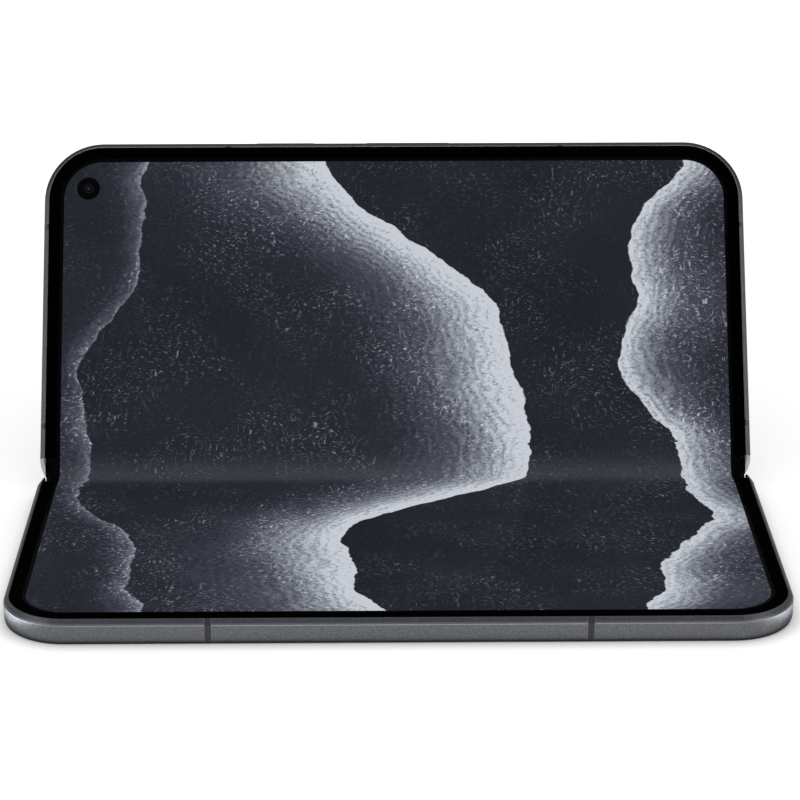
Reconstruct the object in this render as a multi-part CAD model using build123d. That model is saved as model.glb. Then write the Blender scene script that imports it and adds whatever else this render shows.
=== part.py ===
from build123d import *
import math
import os

# Foldable phone with one inner display and a geared two-axis hinge, in millimetres.
#
# Every half is designed lying flat and face up, with the fold line on the X axis, the half
# running towards -Y and the top of its bezel at z = 0. "s" is the distance from the fold line.
# The lower half is then moved onto the table, the spine turns about the lower hinge axis and
# the upper half, a mirror image about the fold line, turns about the upper hinge axis.
# Row frame: origin at the centre of the lower half's underside, +X towards the charging port,
# +Y towards the hinge, +Z up.

# Overall size and rest pose
LENGTH = 155.2
HALF_DEPTH = 75.1
OPENING_DEG = 120.84
HALF_FOLD_DEG = (180.0 - OPENING_DEG) / 2

# General clearances, and lengths that only cutting tools and picked edges use
FIT = 0.05
PIECE_GAP = 0.3
THROUGH = 1.0
FAR = 20.0

# Outline of a half
CORNER_R = 13.0
CAP_LENGTH = 4.05
CAP_TAPER = 1.35
CHAMFER_WIDTH = 1.09
CHAMFER_DROP = 0.84
FRAME_GAP = 0.05

# Layers, counted down from the top of the bezel; the bay is as deep as the port needs
LIP_THICKNESS = 0.15
DISPLAY_THICKNESS = 0.45
PLATE_THICKNESS = 0.6
USB_HEIGHT = 3.26
USB_ROOM = 0.095
GLASS_THICKNESS = 0.45
PANEL_THICKNESS = 0.8
GLASS_INSET = 0.25
GLASS_CHAMFER = 0.2
Z_DISPLAY = -LIP_THICKNESS
Z_FLOOR = Z_DISPLAY - DISPLAY_THICKNESS
Z_BAY = Z_FLOOR - PLATE_THICKNESS
Z_GLASS = Z_BAY - USB_HEIGHT - 2 * USB_ROOM
Z_BACK = Z_GLASS - GLASS_THICKNESS
Z_PANEL = Z_GLASS + PANEL_THICKNESS
Z_LIP = Z_BACK + FRAME_GAP

# Widths around the display
WALL = 2.0
BEZEL_LIP = 2.5
DISPLAY_MARGIN = 1.25
X_EDGE = LENGTH / 2
X_BAY = X_EDGE - WALL
S_BAY_END = HALF_DEPTH - WALL
X_DISPLAY = X_EDGE - CHAMFER_WIDTH - DISPLAY_MARGIN

# Hinge: two virtual axes, one for each half
AXIS_SPACING = 2.4
CLOSED_GAP = 0.3
BAR_FLOOR = 0.4
BAR_WALL = 0.8
SPINE_GAP = 0.1
SPINE_WALL = 0.45
SPINE_LIP_DROP = 0.85
CAP_WALL = 1.28
PLUG_GAP = 0.12
PLUG_THICKNESS = 0.6
PLUG_SPIGOT = 1.0
AXIS_Y = AXIS_SPACING / 2
AXIS_Z = CLOSED_GAP / 2 - AXIS_Y
SPINE_R = AXIS_Z - Z_LIP - SPINE_GAP - BAR_FLOOR
SPINE_TOP = AXIS_Z - SPINE_LIP_DROP
SPINE_FLOOR = AXIS_Z - SPINE_R + SPINE_WALL
X_CAVITY = X_EDGE - CAP_WALL
SPINE_HALF = X_CAVITY - PLUG_GAP
CAVITY_R = SPINE_R + SPINE_GAP
S_CAVITY = AXIS_Y + CAVITY_R
S_BAR = S_CAVITY + BAR_WALL

# Free bending zone of the display and the wing plates under it
FOLD_ZONE = 7.0
BEND_TOP_R = 5.0
BEND_CLEARANCE = 0.13
WING_TILT_CLOSED = 20.0
WING_THICKNESS = 0.4
WING_INNER = 0.4
WING_RUN = 0.1
WING_END_GAP = 0.66
WING_RELIEF_IN = 0.2
WING_BEAD_R = WING_THICKNESS / 2
WING_HALF_LENGTH = X_DISPLAY - WING_END_GAP
S_PLATE = FOLD_ZONE + WING_BEAD_R + WING_RUN
WING_RATIO = WING_TILT_CLOSED / 90.0

# Hinge modules: arc rails run in grooves on both sides of a gear slot
MODULE_INSET = 27.6
RAIL_WIDTH = 2.0
GEAR_SLOT = 1.6
INNER_WALL = 0.6
OUTER_WALL = 0.8
SIDE_RUN = 0.1
RAIL_THICKNESS = 0.7
RAIL_BACK = 0.4
RAIL_RUN = 0.05
RAIL_START_DEG = -150.0
RAIL_END_DEG = -15.0
FAN_STEPS = 9
BRACKET_RUN = 0.05
BRACKET_DROP = 0.6
BRACKET_FOOT = 0.5
MODULE_X = X_EDGE - MODULE_INSET
MODULES = (-MODULE_X, MODULE_X)
BRACKET_R = SPINE_R - SPINE_WALL - BRACKET_RUN
BRACKET_TOP = AXIS_Z - BRACKET_DROP
RAIL_R_OUT = BRACKET_R - RAIL_BACK
RAIL_R_IN = RAIL_R_OUT - RAIL_THICKNESS
RAIL_NEAR = GEAR_SLOT / 2 + INNER_WALL
RAIL_FAR = RAIL_NEAR + RAIL_WIDTH
MODULE_HALF = RAIL_FAR + OUTER_WALL

# Gear train between the two halves
GEAR_MODULE = 0.1
SECTOR_TEETH = 21
IDLER_TEETH = 12
TOOTH_SHARE = 0.44
TOOTH_ROOT_SHARE = 0.78
TOOTH_TIP_SHARE = 0.22
MESH_DEG = -105.0
SECTOR_BEFORE_DEG = 16.0
SECTOR_AFTER_DEG = 99.0
SECTOR_HUB_R = 0.65
IDLER_PIN_R = 0.22
IDLER_RUN = 0.04
GEAR_RUN = 0.13
ADDENDUM = 0.9 * GEAR_MODULE
DEDENDUM = 1.3 * GEAR_MODULE
SECTOR_R = GEAR_MODULE * SECTOR_TEETH / 2
IDLER_R = GEAR_MODULE * IDLER_TEETH / 2
IDLER_TURN = SECTOR_TEETH / IDLER_TEETH
OUTER_IDLER_Y = -AXIS_Y + (SECTOR_R + IDLER_R) * math.cos(math.radians(MESH_DEG))
OUTER_IDLER_Z = AXIS_Z + (SECTOR_R + IDLER_R) * math.sin(math.radians(MESH_DEG))
INNER_IDLER_Y = -IDLER_R
IDLER_STEP = math.sqrt((2 * IDLER_R) ** 2 - (INNER_IDLER_Y - OUTER_IDLER_Y) ** 2)
INNER_IDLER_Z = OUTER_IDLER_Z - IDLER_STEP
GEAR_ROOM_Y = -OUTER_IDLER_Y + IDLER_R + ADDENDUM + GEAR_RUN

# Hinge arms: the neck passes over the spine's wall and ends in a root under the middle plate
NECK_DROP = 0.57
SEAT_DROP = 1.25
NECK_RISE_IN = 0.2
NECK_UNDER = 0.4
NECK_FLAT = 0.5
NECK_SLOPE = 0.3
NECK_OVERLAP = 1.05
NECK_SIDE_RUN = 0.15
MOUTH_RUN = 0.1
MOUTH_DROP = 0.2
BAR_WEB = 0.5
ROOT_GAP = 0.15
ROOT_DEPTH = 4.45
ROOT_WIDTH = 12.0
ROOT_R = 0.8
SCREW_SPREAD = 8.0
SCREW_R = 0.6
SCREW_HEAD_R = 1.1
SCREW_HEAD = 0.35
NECK_TOP = AXIS_Z - NECK_DROP
ARM_SEAT = AXIS_Z - SEAT_DROP
NECK_RISE_S = AXIS_Y + RAIL_R_IN + NECK_RISE_IN
NECK_UNDER_S = NECK_RISE_S + NECK_UNDER
NECK_FLAT_S = AXIS_Y + SPINE_R
NECK_END_S = NECK_FLAT_S + NECK_FLAT
S_BAY = S_PLATE + BAR_WEB
S_ROOT = S_BAY + ROOT_GAP
S_ROOT_END = S_ROOT + ROOT_DEPTH
S_SCREW = S_ROOT + ROOT_DEPTH / 2
WEB_FROM_AXIS = ((0.0, 0.0), (0.1, 0.7), (0.8, 0.7), (1.4, 1.15), (2.25, 1.37))
WEB_TOP_DROP = 0.24
WEB_TOP_S = 1.2

# Component bays: boards towards -X, battery in the middle, port and speakers towards +X
BAY_LEAD = 1.6
BOARD_SIDE = 50.6
PORT_SIDE = 25.6
CELL_GAP = 3.0
CELL_R = 0.6
CAN_WALL = 0.2
S_INNER = S_ROOT_END + BAY_LEAD
X_BOARD_END = BOARD_SIDE - X_BAY
X_CELL_LOW = X_BOARD_END + CELL_GAP
X_CELL_HIGH = X_BAY - PORT_SIDE
CELL_MIDDLE = (X_CELL_LOW + X_CELL_HIGH) / 2

# Lower half: cover display and its camera, battery, board, speaker, motor and card tray
PANEL_EDGE = 0.5
PANEL_START = 0.5
COVER_CAMERA_INSET = 8.6
COVER_CAMERA_R = 2.3
COVER_CAMERA_HOUSING = 7.0
LOWER_CELL_LIFT = 0.35
LOWER_CELL_END = 6.1
LOWER_BOARD_START = 12.6
LOWER_BOARD_END = 5.1
LOWER_BOARD_THICKNESS = 0.6
BOARD_NOTCH_R = 2.0
LOWER_CAN_SIDE = 3.0
LOWER_CAN_END = 8.0
EARPIECE_LENGTH = 9.3
EARPIECE_WIDTH = 14.5
SLIT_LENGTH = 12.0
SLIT_HEIGHT = 0.9
MOTOR_LENGTH = 19.0
MOTOR_WIDTH = 10.0
MOTOR_END = 13.1
TRAY_LENGTH = 22.0
TRAY_WIDTH = 14.0
TRAY_THICKNESS = 0.8
TRAY_DEPTH = 2.5
READER_MARGIN = 1.0
READER_THICKNESS = 2.1
MAGNET_INSET = 15.6
MAGNET_LENGTH = 10.0
MAGNET_WIDTH = 2.6
MAGNET_HEIGHT = 2.2
MAGNET_END = 0.5
S_MIDDLE = HALF_DEPTH / 2
X_COVER_CAMERA = COVER_CAMERA_INSET - X_EDGE

# Charging port, speaker and microphones in the upper half's end walls
USB_WIDTH = 8.94
USB_WALL = 0.3
USB_DEPTH = 7.35
USB_RECESS = 0.05
USB_BACK = 0.5
TONGUE_WIDTH = 6.69
TONGUE_HEIGHT = 0.7
TONGUE_LENGTH = 4.45
TONGUE_CHAMFER = 0.12
SPEAKER_LENGTH = 17.1
SPEAKER_WIDTH = 14.0
SPEAKER_END = 0.5
SPEAKER_HOLES = 6
SPEAKER_HOLE_R = 0.55
SPEAKER_HOLE_PITCH = 1.8
MIC_OFFSET = 9.45
MIC_WIDTH = 4.0
MIC_DEPTH = 3.0
MIC_HEIGHT = 2.6
MIC_HOLE_R = 0.5
USB_Z = (Z_BAY + Z_GLASS) / 2
S_MIC = S_MIDDLE + MIC_OFFSET

# Antenna bands, and the keys between two of them on the upper half's outer edge
BAND_WIDTH = 1.3
BAND_INSET = 40.7
BAND_FOLD_S = 11.3
BAND_OUTER_INSET = 19.1
POWER_FROM_BAND = 12.7
POWER_LENGTH = 13.7
KEY_PITCH = 27.3
VOLUME_LENGTH = 19.3
KEY_HEIGHT = 2.0
KEY_Z = -2.7
KEY_PROUD = 0.3
KEY_RUN = 0.1
KEY_EDGE = 0.15
KEY_TRAVEL = 0.2
KEY_FLANGE = 0.5
KEY_LEDGE = 0.8
KEY_SEAT = 0.02
ROCK_ROOM = 0.25
SWITCH_GAP = 0.1
SWITCH_DOME = 0.5
SWITCH_HEIGHT = 1.8
SWITCH_LENGTH = 4.0
SWITCH_SPREAD = 12.4
STRIP_DEPTH = 0.8
STRIP_LIFT = 0.45
BAND_X = X_EDGE - BAND_INSET
BAND_S = (BAND_FOLD_S, HALF_DEPTH - BAND_OUTER_INSET)
POWER_X = POWER_FROM_BAND - BAND_X
VOLUME_X = POWER_X + KEY_PITCH

# Inner camera in the display
INNER_CAMERA_INSET_X = 9.76
INNER_CAMERA_INSET_S = 10.44
INNER_CAMERA_R = 2.4
INNER_LENS_R = 1.15
INNER_HOUSING = 6.4
INNER_HOUSING_DEPTH = 3.0
X_INNER_CAMERA = INNER_CAMERA_INSET_X - X_EDGE
S_INNER_CAMERA = HALF_DEPTH - INNER_CAMERA_INSET_S

# Rear camera plateau: three windows and a flash on a square grid
PLATEAU_INSET_X = 30.6
PLATEAU_INSET_S = 24.1
PLATEAU_SIZE = 38.0
PLATEAU_R = 11.0
PLATEAU_HEIGHT = 1.7
PLATEAU_EDGE = 0.7
LENS_MARGIN = 10.25
LENS_R = 6.2
RING_WIDTH = 1.1
RING_HEIGHT = 0.5
RING_CHAMFER = 0.25
WINDOW_THICKNESS = 0.5
CAMERA_R = 5.2
CAMERA_HOLE_GAP = 0.2
CAMERA_BASE = 11.6
CAMERA_STEP = 0.25
CAMERA_CLEAR = 0.1
BARREL_R_MAIN = 4.4
BARREL_R_WIDE = 3.4
BARREL_R_TELE = 3.9
FLASH_R = 2.1
FLASH_GAP = 0.1
FLASH_BASE = 6.0
X_PLATEAU = PLATEAU_INSET_X - X_EDGE
S_PLATEAU = HALF_DEPTH - PLATEAU_INSET_S
LENS_HALF_PITCH = PLATEAU_SIZE / 2 - LENS_MARGIN
Z_PLATEAU = Z_BACK - PLATEAU_HEIGHT
Z_RING = Z_PLATEAU - RING_HEIGHT
CAMERA_MAIN = (X_PLATEAU - LENS_HALF_PITCH, S_PLATEAU + LENS_HALF_PITCH)
CAMERA_WIDE = (X_PLATEAU + LENS_HALF_PITCH, S_PLATEAU + LENS_HALF_PITCH)
CAMERA_TELE = (X_PLATEAU - LENS_HALF_PITCH, S_PLATEAU - LENS_HALF_PITCH)
CAMERAS = (CAMERA_MAIN, CAMERA_WIDE, CAMERA_TELE)
FLASH_PLACE = (X_PLATEAU + LENS_HALF_PITCH, S_PLATEAU - LENS_HALF_PITCH)

# Upper half: battery with the charging coil under it, main board and its cans
UPPER_CELL_END = 13.1
COIL_THICKNESS = 0.75
COIL_R_OUT = 20.0
COIL_R_IN = 9.0
MAIN_BOARD_START = 3.6
MAIN_BOARD_THICKNESS = 0.8
MAIN_BOARD_END = 11.1
MAIN_BOARD_ARM = 11.0
MAIN_CAN_LIFT = 0.2
MAIN_CAN_SIDE = 2.0
MAIN_CAN_GAP = 2.0
MAIN_CAN_SPLIT = 0.46

LOWER = Pos(0, HALF_DEPTH / 2, -Z_BACK)


def turn(y, z, angle):
    """Turn about the axis along X through (y, z)."""
    return Pos(0, y, z) * Rot(angle, 0, 0) * Pos(0, -y, -z)


SPINE = LOWER * turn(-AXIS_Y, AXIS_Z, HALF_FOLD_DEG)
UPPER = SPINE * turn(AXIS_Y, AXIS_Z, HALF_FOLD_DEG)


def to_lower(shape):
    """Move a half piece onto the table as part of the lower half."""
    return LOWER * shape


def to_spine(shape):
    """Move a hinge piece with the spine to its rest pose."""
    return SPINE * shape


def to_upper(shape):
    """Mirror a half piece about the fold line and lean it back as the upper half."""
    return UPPER * mirror(shape, about=Plane.XZ)


def box(x_low, x_high, s_near, s_far, z_low, z_high):
    """Box between two distances from the fold line, on the -Y side."""
    size = (x_high - x_low, s_far - s_near, z_high - z_low)
    centre = ((x_low + x_high) / 2, -(s_near + s_far) / 2, (z_low + z_high) / 2)
    return Pos(*centre) * Box(*size)


def square_box(place, size, z_low, z_high):
    """Upright square block centred at a place (x, s)."""
    x, s = place
    half = size / 2
    return box(x - half, x + half, s - half, s + half, z_low, z_high)


def plate(sketch, z_low, z_high):
    """Flat plate of an outline in the XY plane."""
    return Pos(0, 0, z_low) * extrude(sketch, amount=z_high - z_low)


def rod(radius, x_low, x_high, y, z):
    """Round bar along X."""
    return Pos((x_low + x_high) / 2, y, z) * Rot(0, 90, 0) * Cylinder(radius, x_high - x_low)


def upright(radius, place, z_low, z_high):
    """Round bar along Z at a place (x, s)."""
    return Pos(place[0], -place[1], (z_low + z_high) / 2) * Cylinder(radius, z_high - z_low)


def end_hole(radius, x_wall, s, z):
    """Round cutter along X through an end wall."""
    return rod(radius, x_wall - WALL - THROUGH, x_wall + WALL + THROUGH, -s, z)


def section(points):
    """Closed polygon in the YZ plane, from (y, z) points."""
    return Plane.YZ * make_face(Polyline(*points, close=True))


def section_disc(radius, y, z):
    """Disc in the YZ plane."""
    return Plane.YZ * Pos(y, z) * Circle(radius)


def section_box(y_low, y_high, z_low, z_high):
    """Rectangle in the YZ plane."""
    return section([(y_low, z_low), (y_high, z_low), (y_high, z_high), (y_low, z_high)])


def along_x(profile, x_low, x_high):
    """Bar with a YZ profile between two X positions."""
    return Pos(x_low, 0, 0) * extrude(profile, amount=x_high - x_low, dir=(1, 0, 0))


def polar(radius, degrees, y, z):
    """Point at a radius and angle about (y, z) in the YZ plane."""
    angle = math.radians(degrees)
    return (y + radius * math.cos(angle), z + radius * math.sin(angle))


def fan(start_deg, end_deg):
    """Wide wedge about the lower hinge axis, to trim rings with."""
    points = [(-AXIS_Y, AXIS_Z)]
    for i in range(FAN_STEPS + 1):
        angle = start_deg + (end_deg - start_deg) * i / FAN_STEPS
        points.append(polar(FAR, angle, -AXIS_Y, AXIS_Z))
    return section(points)


def group(*solids):
    """Several separate solids kept in one node."""
    return Compound([solid for shape in solids for solid in shape.solids()])


def at_modules(piece):
    """A hinge piece repeated at both modules."""
    return group(*[Pos(x, 0, 0) * piece for x in MODULES])


def write(name, shape):
    """Write one node."""
    export_step(shape, f"parts/{name}.step")


# ---------------------------------------------------------------- frame, bands, caps and bezel


def half_outline(inset, s_start=0.0):
    """Outline of a half: round outer corners, and corners tapered in at the fold."""
    x = X_EDGE - inset
    s_end = HALF_DEPTH - inset
    r = CORNER_R - inset
    bend = r * (1 - math.sqrt(0.5))
    fold_x = x - CAP_TAPER
    edges = [
        TangentArc((x, -CAP_LENGTH), (fold_x, 0), tangent=(0, 1)),
        Line((x, -CAP_LENGTH), (x, r - s_end)),
        ThreePointArc((x, r - s_end), (x - bend, bend - s_end), (x - r, -s_end)),
        Line((x - r, -s_end), (r - x, -s_end)),
        ThreePointArc((r - x, -s_end), (bend - x, bend - s_end), (-x, r - s_end)),
        Line((-x, r - s_end), (-x, -CAP_LENGTH)),
        TangentArc((-x, -CAP_LENGTH), (-fold_x, 0), tangent=(0, 1)),
        Line((-fold_x, 0), (fold_x, 0)),
    ]
    face = make_face(Wire(edges))
    if s_start > 0:
        middle = (s_start + HALF_DEPTH) / 2
        keep = Pos(0, -middle) * Rectangle(LENGTH + THROUGH, HALF_DEPTH - s_start)
        face = face & keep
    return face


def outer_body():
    """Solid half with its chamfered upper edge and the deeper bar beside the fold."""
    body = plate(half_outline(0.0, FRAME_GAP), Z_GLASS, 0.0)
    top = body.faces().sort_by(Axis.Z)[-1]
    rim = [edge for edge in top.edges() if edge.center().Y < -2 * FRAME_GAP]
    body = chamfer(rim, CHAMFER_DROP, CHAMFER_WIDTH, reference=top)
    bar = plate(half_outline(0.0, FRAME_GAP), Z_LIP, Z_GLASS)
    return body + (bar & box(-LENGTH, LENGTH, 0, S_BAR, Z_LIP, Z_GLASS))


def roll_relief():
    """Space beside the fold that the other half's edge needs as the phone closes."""
    block = section_box(-AXIS_Y, THROUGH, AXIS_Z, THROUGH)
    keep = section_disc(AXIS_Y - FRAME_GAP, -AXIS_Y, AXIS_Z)
    return along_x(block - keep, -LENGTH, LENGTH)


def wing_line(s):
    """Height just under the closed wing plate at a distance from the fold."""
    tilt = math.radians(WING_TILT_CLOSED)
    leaf = WING_THICKNESS / math.cos(tilt)
    return Z_FLOOR - (FOLD_ZONE - s) * math.tan(tilt) - leaf - WING_RUN


def hinge_cavity():
    """Space in a half for the spine, the bending display and its wing plate."""
    round_part = section_disc(CAVITY_R, -AXIS_Y, AXIS_Z) & section_box(-FAR, 0, -FAR, Z_BAY)
    lip_part = section_box(-AXIS_Y, 0, AXIS_Z - CAVITY_R, Z_BAY)
    open_part = section_box(-CAP_LENGTH, 0, Z_BAY - THROUGH, THROUGH)
    spine_part = along_x(round_part + lip_part + open_part, -X_CAVITY, X_CAVITY)
    wing_end = S_CAVITY - WING_RELIEF_IN
    wing_z = wing_line(wing_end)
    outline = [
        (0, THROUGH),
        (-S_PLATE, THROUGH),
        (-S_PLATE, Z_BAY),
        (-wing_end, wing_z),
        (0, wing_z),
    ]
    return spine_part + along_x(section(outline), -X_DISPLAY - FIT, X_DISPLAY + FIT)


def arm_pockets(side):
    """Pockets in the hinge bar for the arm necks, and screw holes in the plate above them."""
    low, high = arm_span(side)
    cuts = []
    for x in MODULES:
        s_end = S_BAY + NECK_SIDE_RUN
        cuts.append(box(x + low - FIT, x + high + FIT, 0, s_end, ARM_SEAT, Z_BAY))
    for place in screw_places():
        cuts.append(upright(SCREW_R + FIT, place, Z_BAY - THROUGH, 0))
        cuts.append(upright(SCREW_HEAD_R + FIT, place, Z_FLOOR - SCREW_HEAD, 0))
    return cuts


def component_bay():
    """Space behind the middle plate."""
    middle = (S_BAY + S_BAY_END) / 2
    sketch = Pos(0, -middle) * Rectangle(2 * X_BAY, S_BAY_END - S_BAY)
    bay = plate(sketch, Z_GLASS - THROUGH, Z_BAY)
    corners = bay.edges().filter_by(Axis.Z).sort_by(Axis.Y)[:2]
    return fillet(corners, CORNER_R - WALL)


def band_boxes():
    """Boxes of the insulating bands in the side walls."""
    half = BAND_WIDTH / 2
    s_in = HALF_DEPTH - CHAMFER_WIDTH
    boxes = [box(x - half, x + half, s_in, HALF_DEPTH, Z_GLASS, 0) for x in (-BAND_X, BAND_X)]
    for s in BAND_S:
        boxes.append(box(-X_EDGE, CHAMFER_WIDTH - X_EDGE, s - half, s + half, Z_GLASS, 0))
        boxes.append(box(X_EDGE - CHAMFER_WIDTH, X_EDGE, s - half, s + half, Z_GLASS, 0))
    return boxes


def cap_boxes():
    """Boxes of the two polished corner caps beside the fold."""
    return [
        box(X_CAVITY, X_EDGE, 0, CAP_LENGTH, Z_LIP, 0),
        box(-X_EDGE, -X_CAVITY, 0, CAP_LENGTH, Z_LIP, 0),
    ]


def half_frame(side):
    """Half frame before its own openings: side walls, middle plate and hinge bar."""
    frame = outer_body()
    frame -= plate(half_outline(CHAMFER_WIDTH, FRAME_GAP), Z_FLOOR, THROUGH)
    frame -= component_bay()
    frame -= hinge_cavity()
    for cut in band_boxes() + cap_boxes() + arm_pockets(side):
        frame -= cut
    return frame


def antenna_bands():
    """Insulating bands, flush with the frame."""
    body = outer_body()
    return group(*[body & piece for piece in band_boxes()])


def corner_caps():
    """Two end caps of the hinge bar, rounded towards the fold."""
    body = outer_body() - roll_relief()
    return group(*[body & piece for piece in cap_boxes()])


def bezel():
    """Raised trim over the display's edge, open at the fold."""
    ring = plate(half_outline(CHAMFER_WIDTH, CAP_LENGTH), Z_FLOOR, 0)
    ring -= plate(half_outline(CHAMFER_WIDTH + DISPLAY_MARGIN), Z_FLOOR - THROUGH, Z_DISPLAY)
    return ring - plate(half_outline(CHAMFER_WIDTH + BEZEL_LIP), Z_FLOOR - THROUGH, THROUGH)


def flat_display():
    """Glued part of the inner display."""
    return plate(half_outline(CHAMFER_WIDTH + DISPLAY_MARGIN, FOLD_ZONE), Z_FLOOR, Z_DISPLAY)


# ---------------------------------------------------------------- hinge


def spine_section(radius, top):
    """Section of the spine: two arcs about the hinge axes with a flat underside."""
    discs = section_disc(radius, -AXIS_Y, AXIS_Z) + section_disc(radius, AXIS_Y, AXIS_Z)
    middle = section_box(-AXIS_Y, AXIS_Y, AXIS_Z - radius, AXIS_Z)
    return (discs + middle) & section_box(-FAR, FAR, -FAR, top)


def arm_span(side):
    """X range of an arm's neck about its module's centre; side is -1 lower, 1 upper."""
    near = GEAR_SLOT / 2 - SIDE_RUN
    far = RAIL_FAR - SIDE_RUN
    return (-far, near) if side < 0 else (-near, far)


def screw_places():
    """Places (x, s) of the arm screws of one half."""
    half = SCREW_SPREAD / 2
    return [(x + dx, S_SCREW) for x in MODULES for dx in (-half, half)]


def spine_cover():
    """Curved outer cover of the hinge, notched where the arms come in."""
    length = SPINE_HALF - PLUG_THICKNESS
    wall = spine_section(SPINE_R, SPINE_TOP) - spine_section(SPINE_R - SPINE_WALL, 0)
    cover = along_x(wall, -length, length)
    for side in (-1, 1):
        low, high = arm_span(side)
        for x in MODULES:
            x_low = x + low - NECK_SIDE_RUN
            x_high = x + high + NECK_SIDE_RUN
            notch = box(x_low, x_high, NECK_RISE_S, FAR, ARM_SEAT - NECK_SIDE_RUN, 0)
            cover -= notch if side < 0 else mirror(notch, about=Plane.XZ)
    return cover


def spine_end_plugs():
    """Plugs that close the two ends of the spine cover."""
    start = SPINE_HALF - PLUG_THICKNESS
    face = along_x(spine_section(SPINE_R, SPINE_TOP), start, SPINE_HALF)
    spigot = spine_section(SPINE_R - SPINE_WALL - FIT, SPINE_TOP)
    plug = face + along_x(spigot, start - PLUG_SPIGOT, start)
    return group(plug, mirror(plug, about=Plane.YZ))


def neck_top():
    """Points of the neck's top, from the inside of the spine's wall outwards."""
    return [(-NECK_FLAT_S, NECK_TOP), (-NECK_END_S, NECK_TOP)]


def rail_profile():
    """Crescent rail of the lower arm, with the neck that carries it over the spine wall."""
    ring = section_disc(RAIL_R_OUT, -AXIS_Y, AXIS_Z) - section_disc(RAIL_R_IN, -AXIS_Y, AXIS_Z)
    outer = polar(RAIL_R_OUT, RAIL_START_DEG, -AXIS_Y, AXIS_Z)
    inner = polar(RAIL_R_IN, RAIL_START_DEG, -AXIS_Y, AXIS_Z)
    top = [inner, (-NECK_RISE_S, SPINE_TOP)] + neck_top()
    under = [(-NECK_END_S, ARM_SEAT), (-NECK_UNDER_S, ARM_SEAT), outer]
    return (ring & fan(RAIL_START_DEG, RAIL_END_DEG)) + section(top + under)


def toothed_disc(teeth, pitch_r, phase):
    """Gear outline with straight-flanked teeth, first tooth centred at the phase angle."""
    step = 360.0 / teeth
    root = pitch_r - DEDENDUM
    tip = pitch_r + ADDENDUM
    root_half = step * TOOTH_SHARE * TOOTH_ROOT_SHARE
    tip_half = step * TOOTH_SHARE * TOOTH_TIP_SHARE
    points = []
    for i in range(teeth):
        centre = phase + i * step
        points.append(polar(root, centre - root_half, 0, 0))
        points.append(polar(tip, centre - tip_half, 0, 0))
        points.append(polar(tip, centre + tip_half, 0, 0))
        points.append(polar(root, centre + root_half, 0, 0))
    return points


def meshed_phase(phase, teeth, next_teeth, direction):
    """Phase of the next gear, which lies in the given direction and meshes with this one."""
    step = 360.0 / teeth
    next_step = 360.0 / next_teeth
    return direction + 180 - next_step * (0.5 - (direction - phase) / step)


def train():
    """Gears from the lower sector to the upper one, lying flat: (y, z, teeth, phase)."""
    places = [
        (-AXIS_Y, AXIS_Z, SECTOR_TEETH),
        (OUTER_IDLER_Y, OUTER_IDLER_Z, IDLER_TEETH),
        (INNER_IDLER_Y, INNER_IDLER_Z, IDLER_TEETH),
        (-INNER_IDLER_Y, INNER_IDLER_Z, IDLER_TEETH),
        (-OUTER_IDLER_Y, OUTER_IDLER_Z, IDLER_TEETH),
        (AXIS_Y, AXIS_Z, SECTOR_TEETH),
    ]
    gears = [(*places[0], MESH_DEG)]
    for y, z, teeth in places[1:]:
        last_y, last_z, last_teeth, phase = gears[-1]
        direction = math.degrees(math.atan2(z - last_z, y - last_y))
        gears.append((y, z, teeth, meshed_phase(phase, last_teeth, teeth, direction)))
    return gears


def sector_web():
    """Web between the toothed sector and the neck."""
    inside = [(-AXIS_Y - ds, AXIS_Z - dz) for ds, dz in WEB_FROM_AXIS]
    under = [(-NECK_UNDER_S, ARM_SEAT), (-NECK_END_S, ARM_SEAT)]
    top = [(-NECK_RISE_S, NECK_TOP - WEB_TOP_DROP), (-AXIS_Y - WEB_TOP_S, AXIS_Z)]
    return section(inside + under + neck_top()[::-1] + top)


def sector_profile(side):
    """Gear prong of an arm, drawn on the lower side: a toothed sector and its web."""
    phase = train()[0][3] if side < 0 else 180 - train()[-1][3]
    points = toothed_disc(SECTOR_TEETH, SECTOR_R, phase)
    disc = section([(y - AXIS_Y, z + AXIS_Z) for y, z in points])
    teeth = disc & fan(MESH_DEG - SECTOR_BEFORE_DEG, MESH_DEG + SECTOR_AFTER_DEG)
    idler = section_disc(IDLER_R + ADDENDUM + SIDE_RUN, OUTER_IDLER_Y, OUTER_IDLER_Z)
    hub = section_disc(SECTOR_HUB_R, -AXIS_Y, AXIS_Z)
    return teeth + (sector_web() - idler) - closed_loop() - hub


def hinge_arm(side):
    """One arm: crescent rail, gear prong and the root that screws under the middle plate."""
    near = RAIL_NEAR + SIDE_RUN
    far = RAIL_FAR - SIDE_RUN
    gear = GEAR_SLOT / 2 - SIDE_RUN
    rail = along_x(rail_profile(), -far, -near)
    prong = along_x(sector_profile(side), -gear, gear)
    s_neck = S_ROOT + NECK_OVERLAP
    neck_profile = section(
        [
            (-NECK_FLAT_S - FIT, NECK_TOP),
            (-NECK_END_S - NECK_SLOPE, NECK_TOP),
            (-S_PLATE, Z_BAY),
            (-s_neck, Z_BAY),
            (-s_neck, ARM_SEAT),
            (-NECK_FLAT_S - FIT, ARM_SEAT),
        ]
    )
    neck = along_x(neck_profile, -far, gear)
    root = box(-ROOT_WIDTH / 2, ROOT_WIDTH / 2, S_ROOT, S_ROOT_END, ARM_SEAT, Z_BAY)
    root = fillet(root.edges().filter_by(Axis.Z), ROOT_R)
    arm = rail + prong + neck + root
    for dx in (-SCREW_SPREAD / 2, SCREW_SPREAD / 2):
        arm -= upright(SCREW_R + FIT, (dx, S_SCREW), ARM_SEAT - THROUGH, 0)
    return arm if side < 0 else mirror(arm, about=Plane.YZ)


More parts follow.
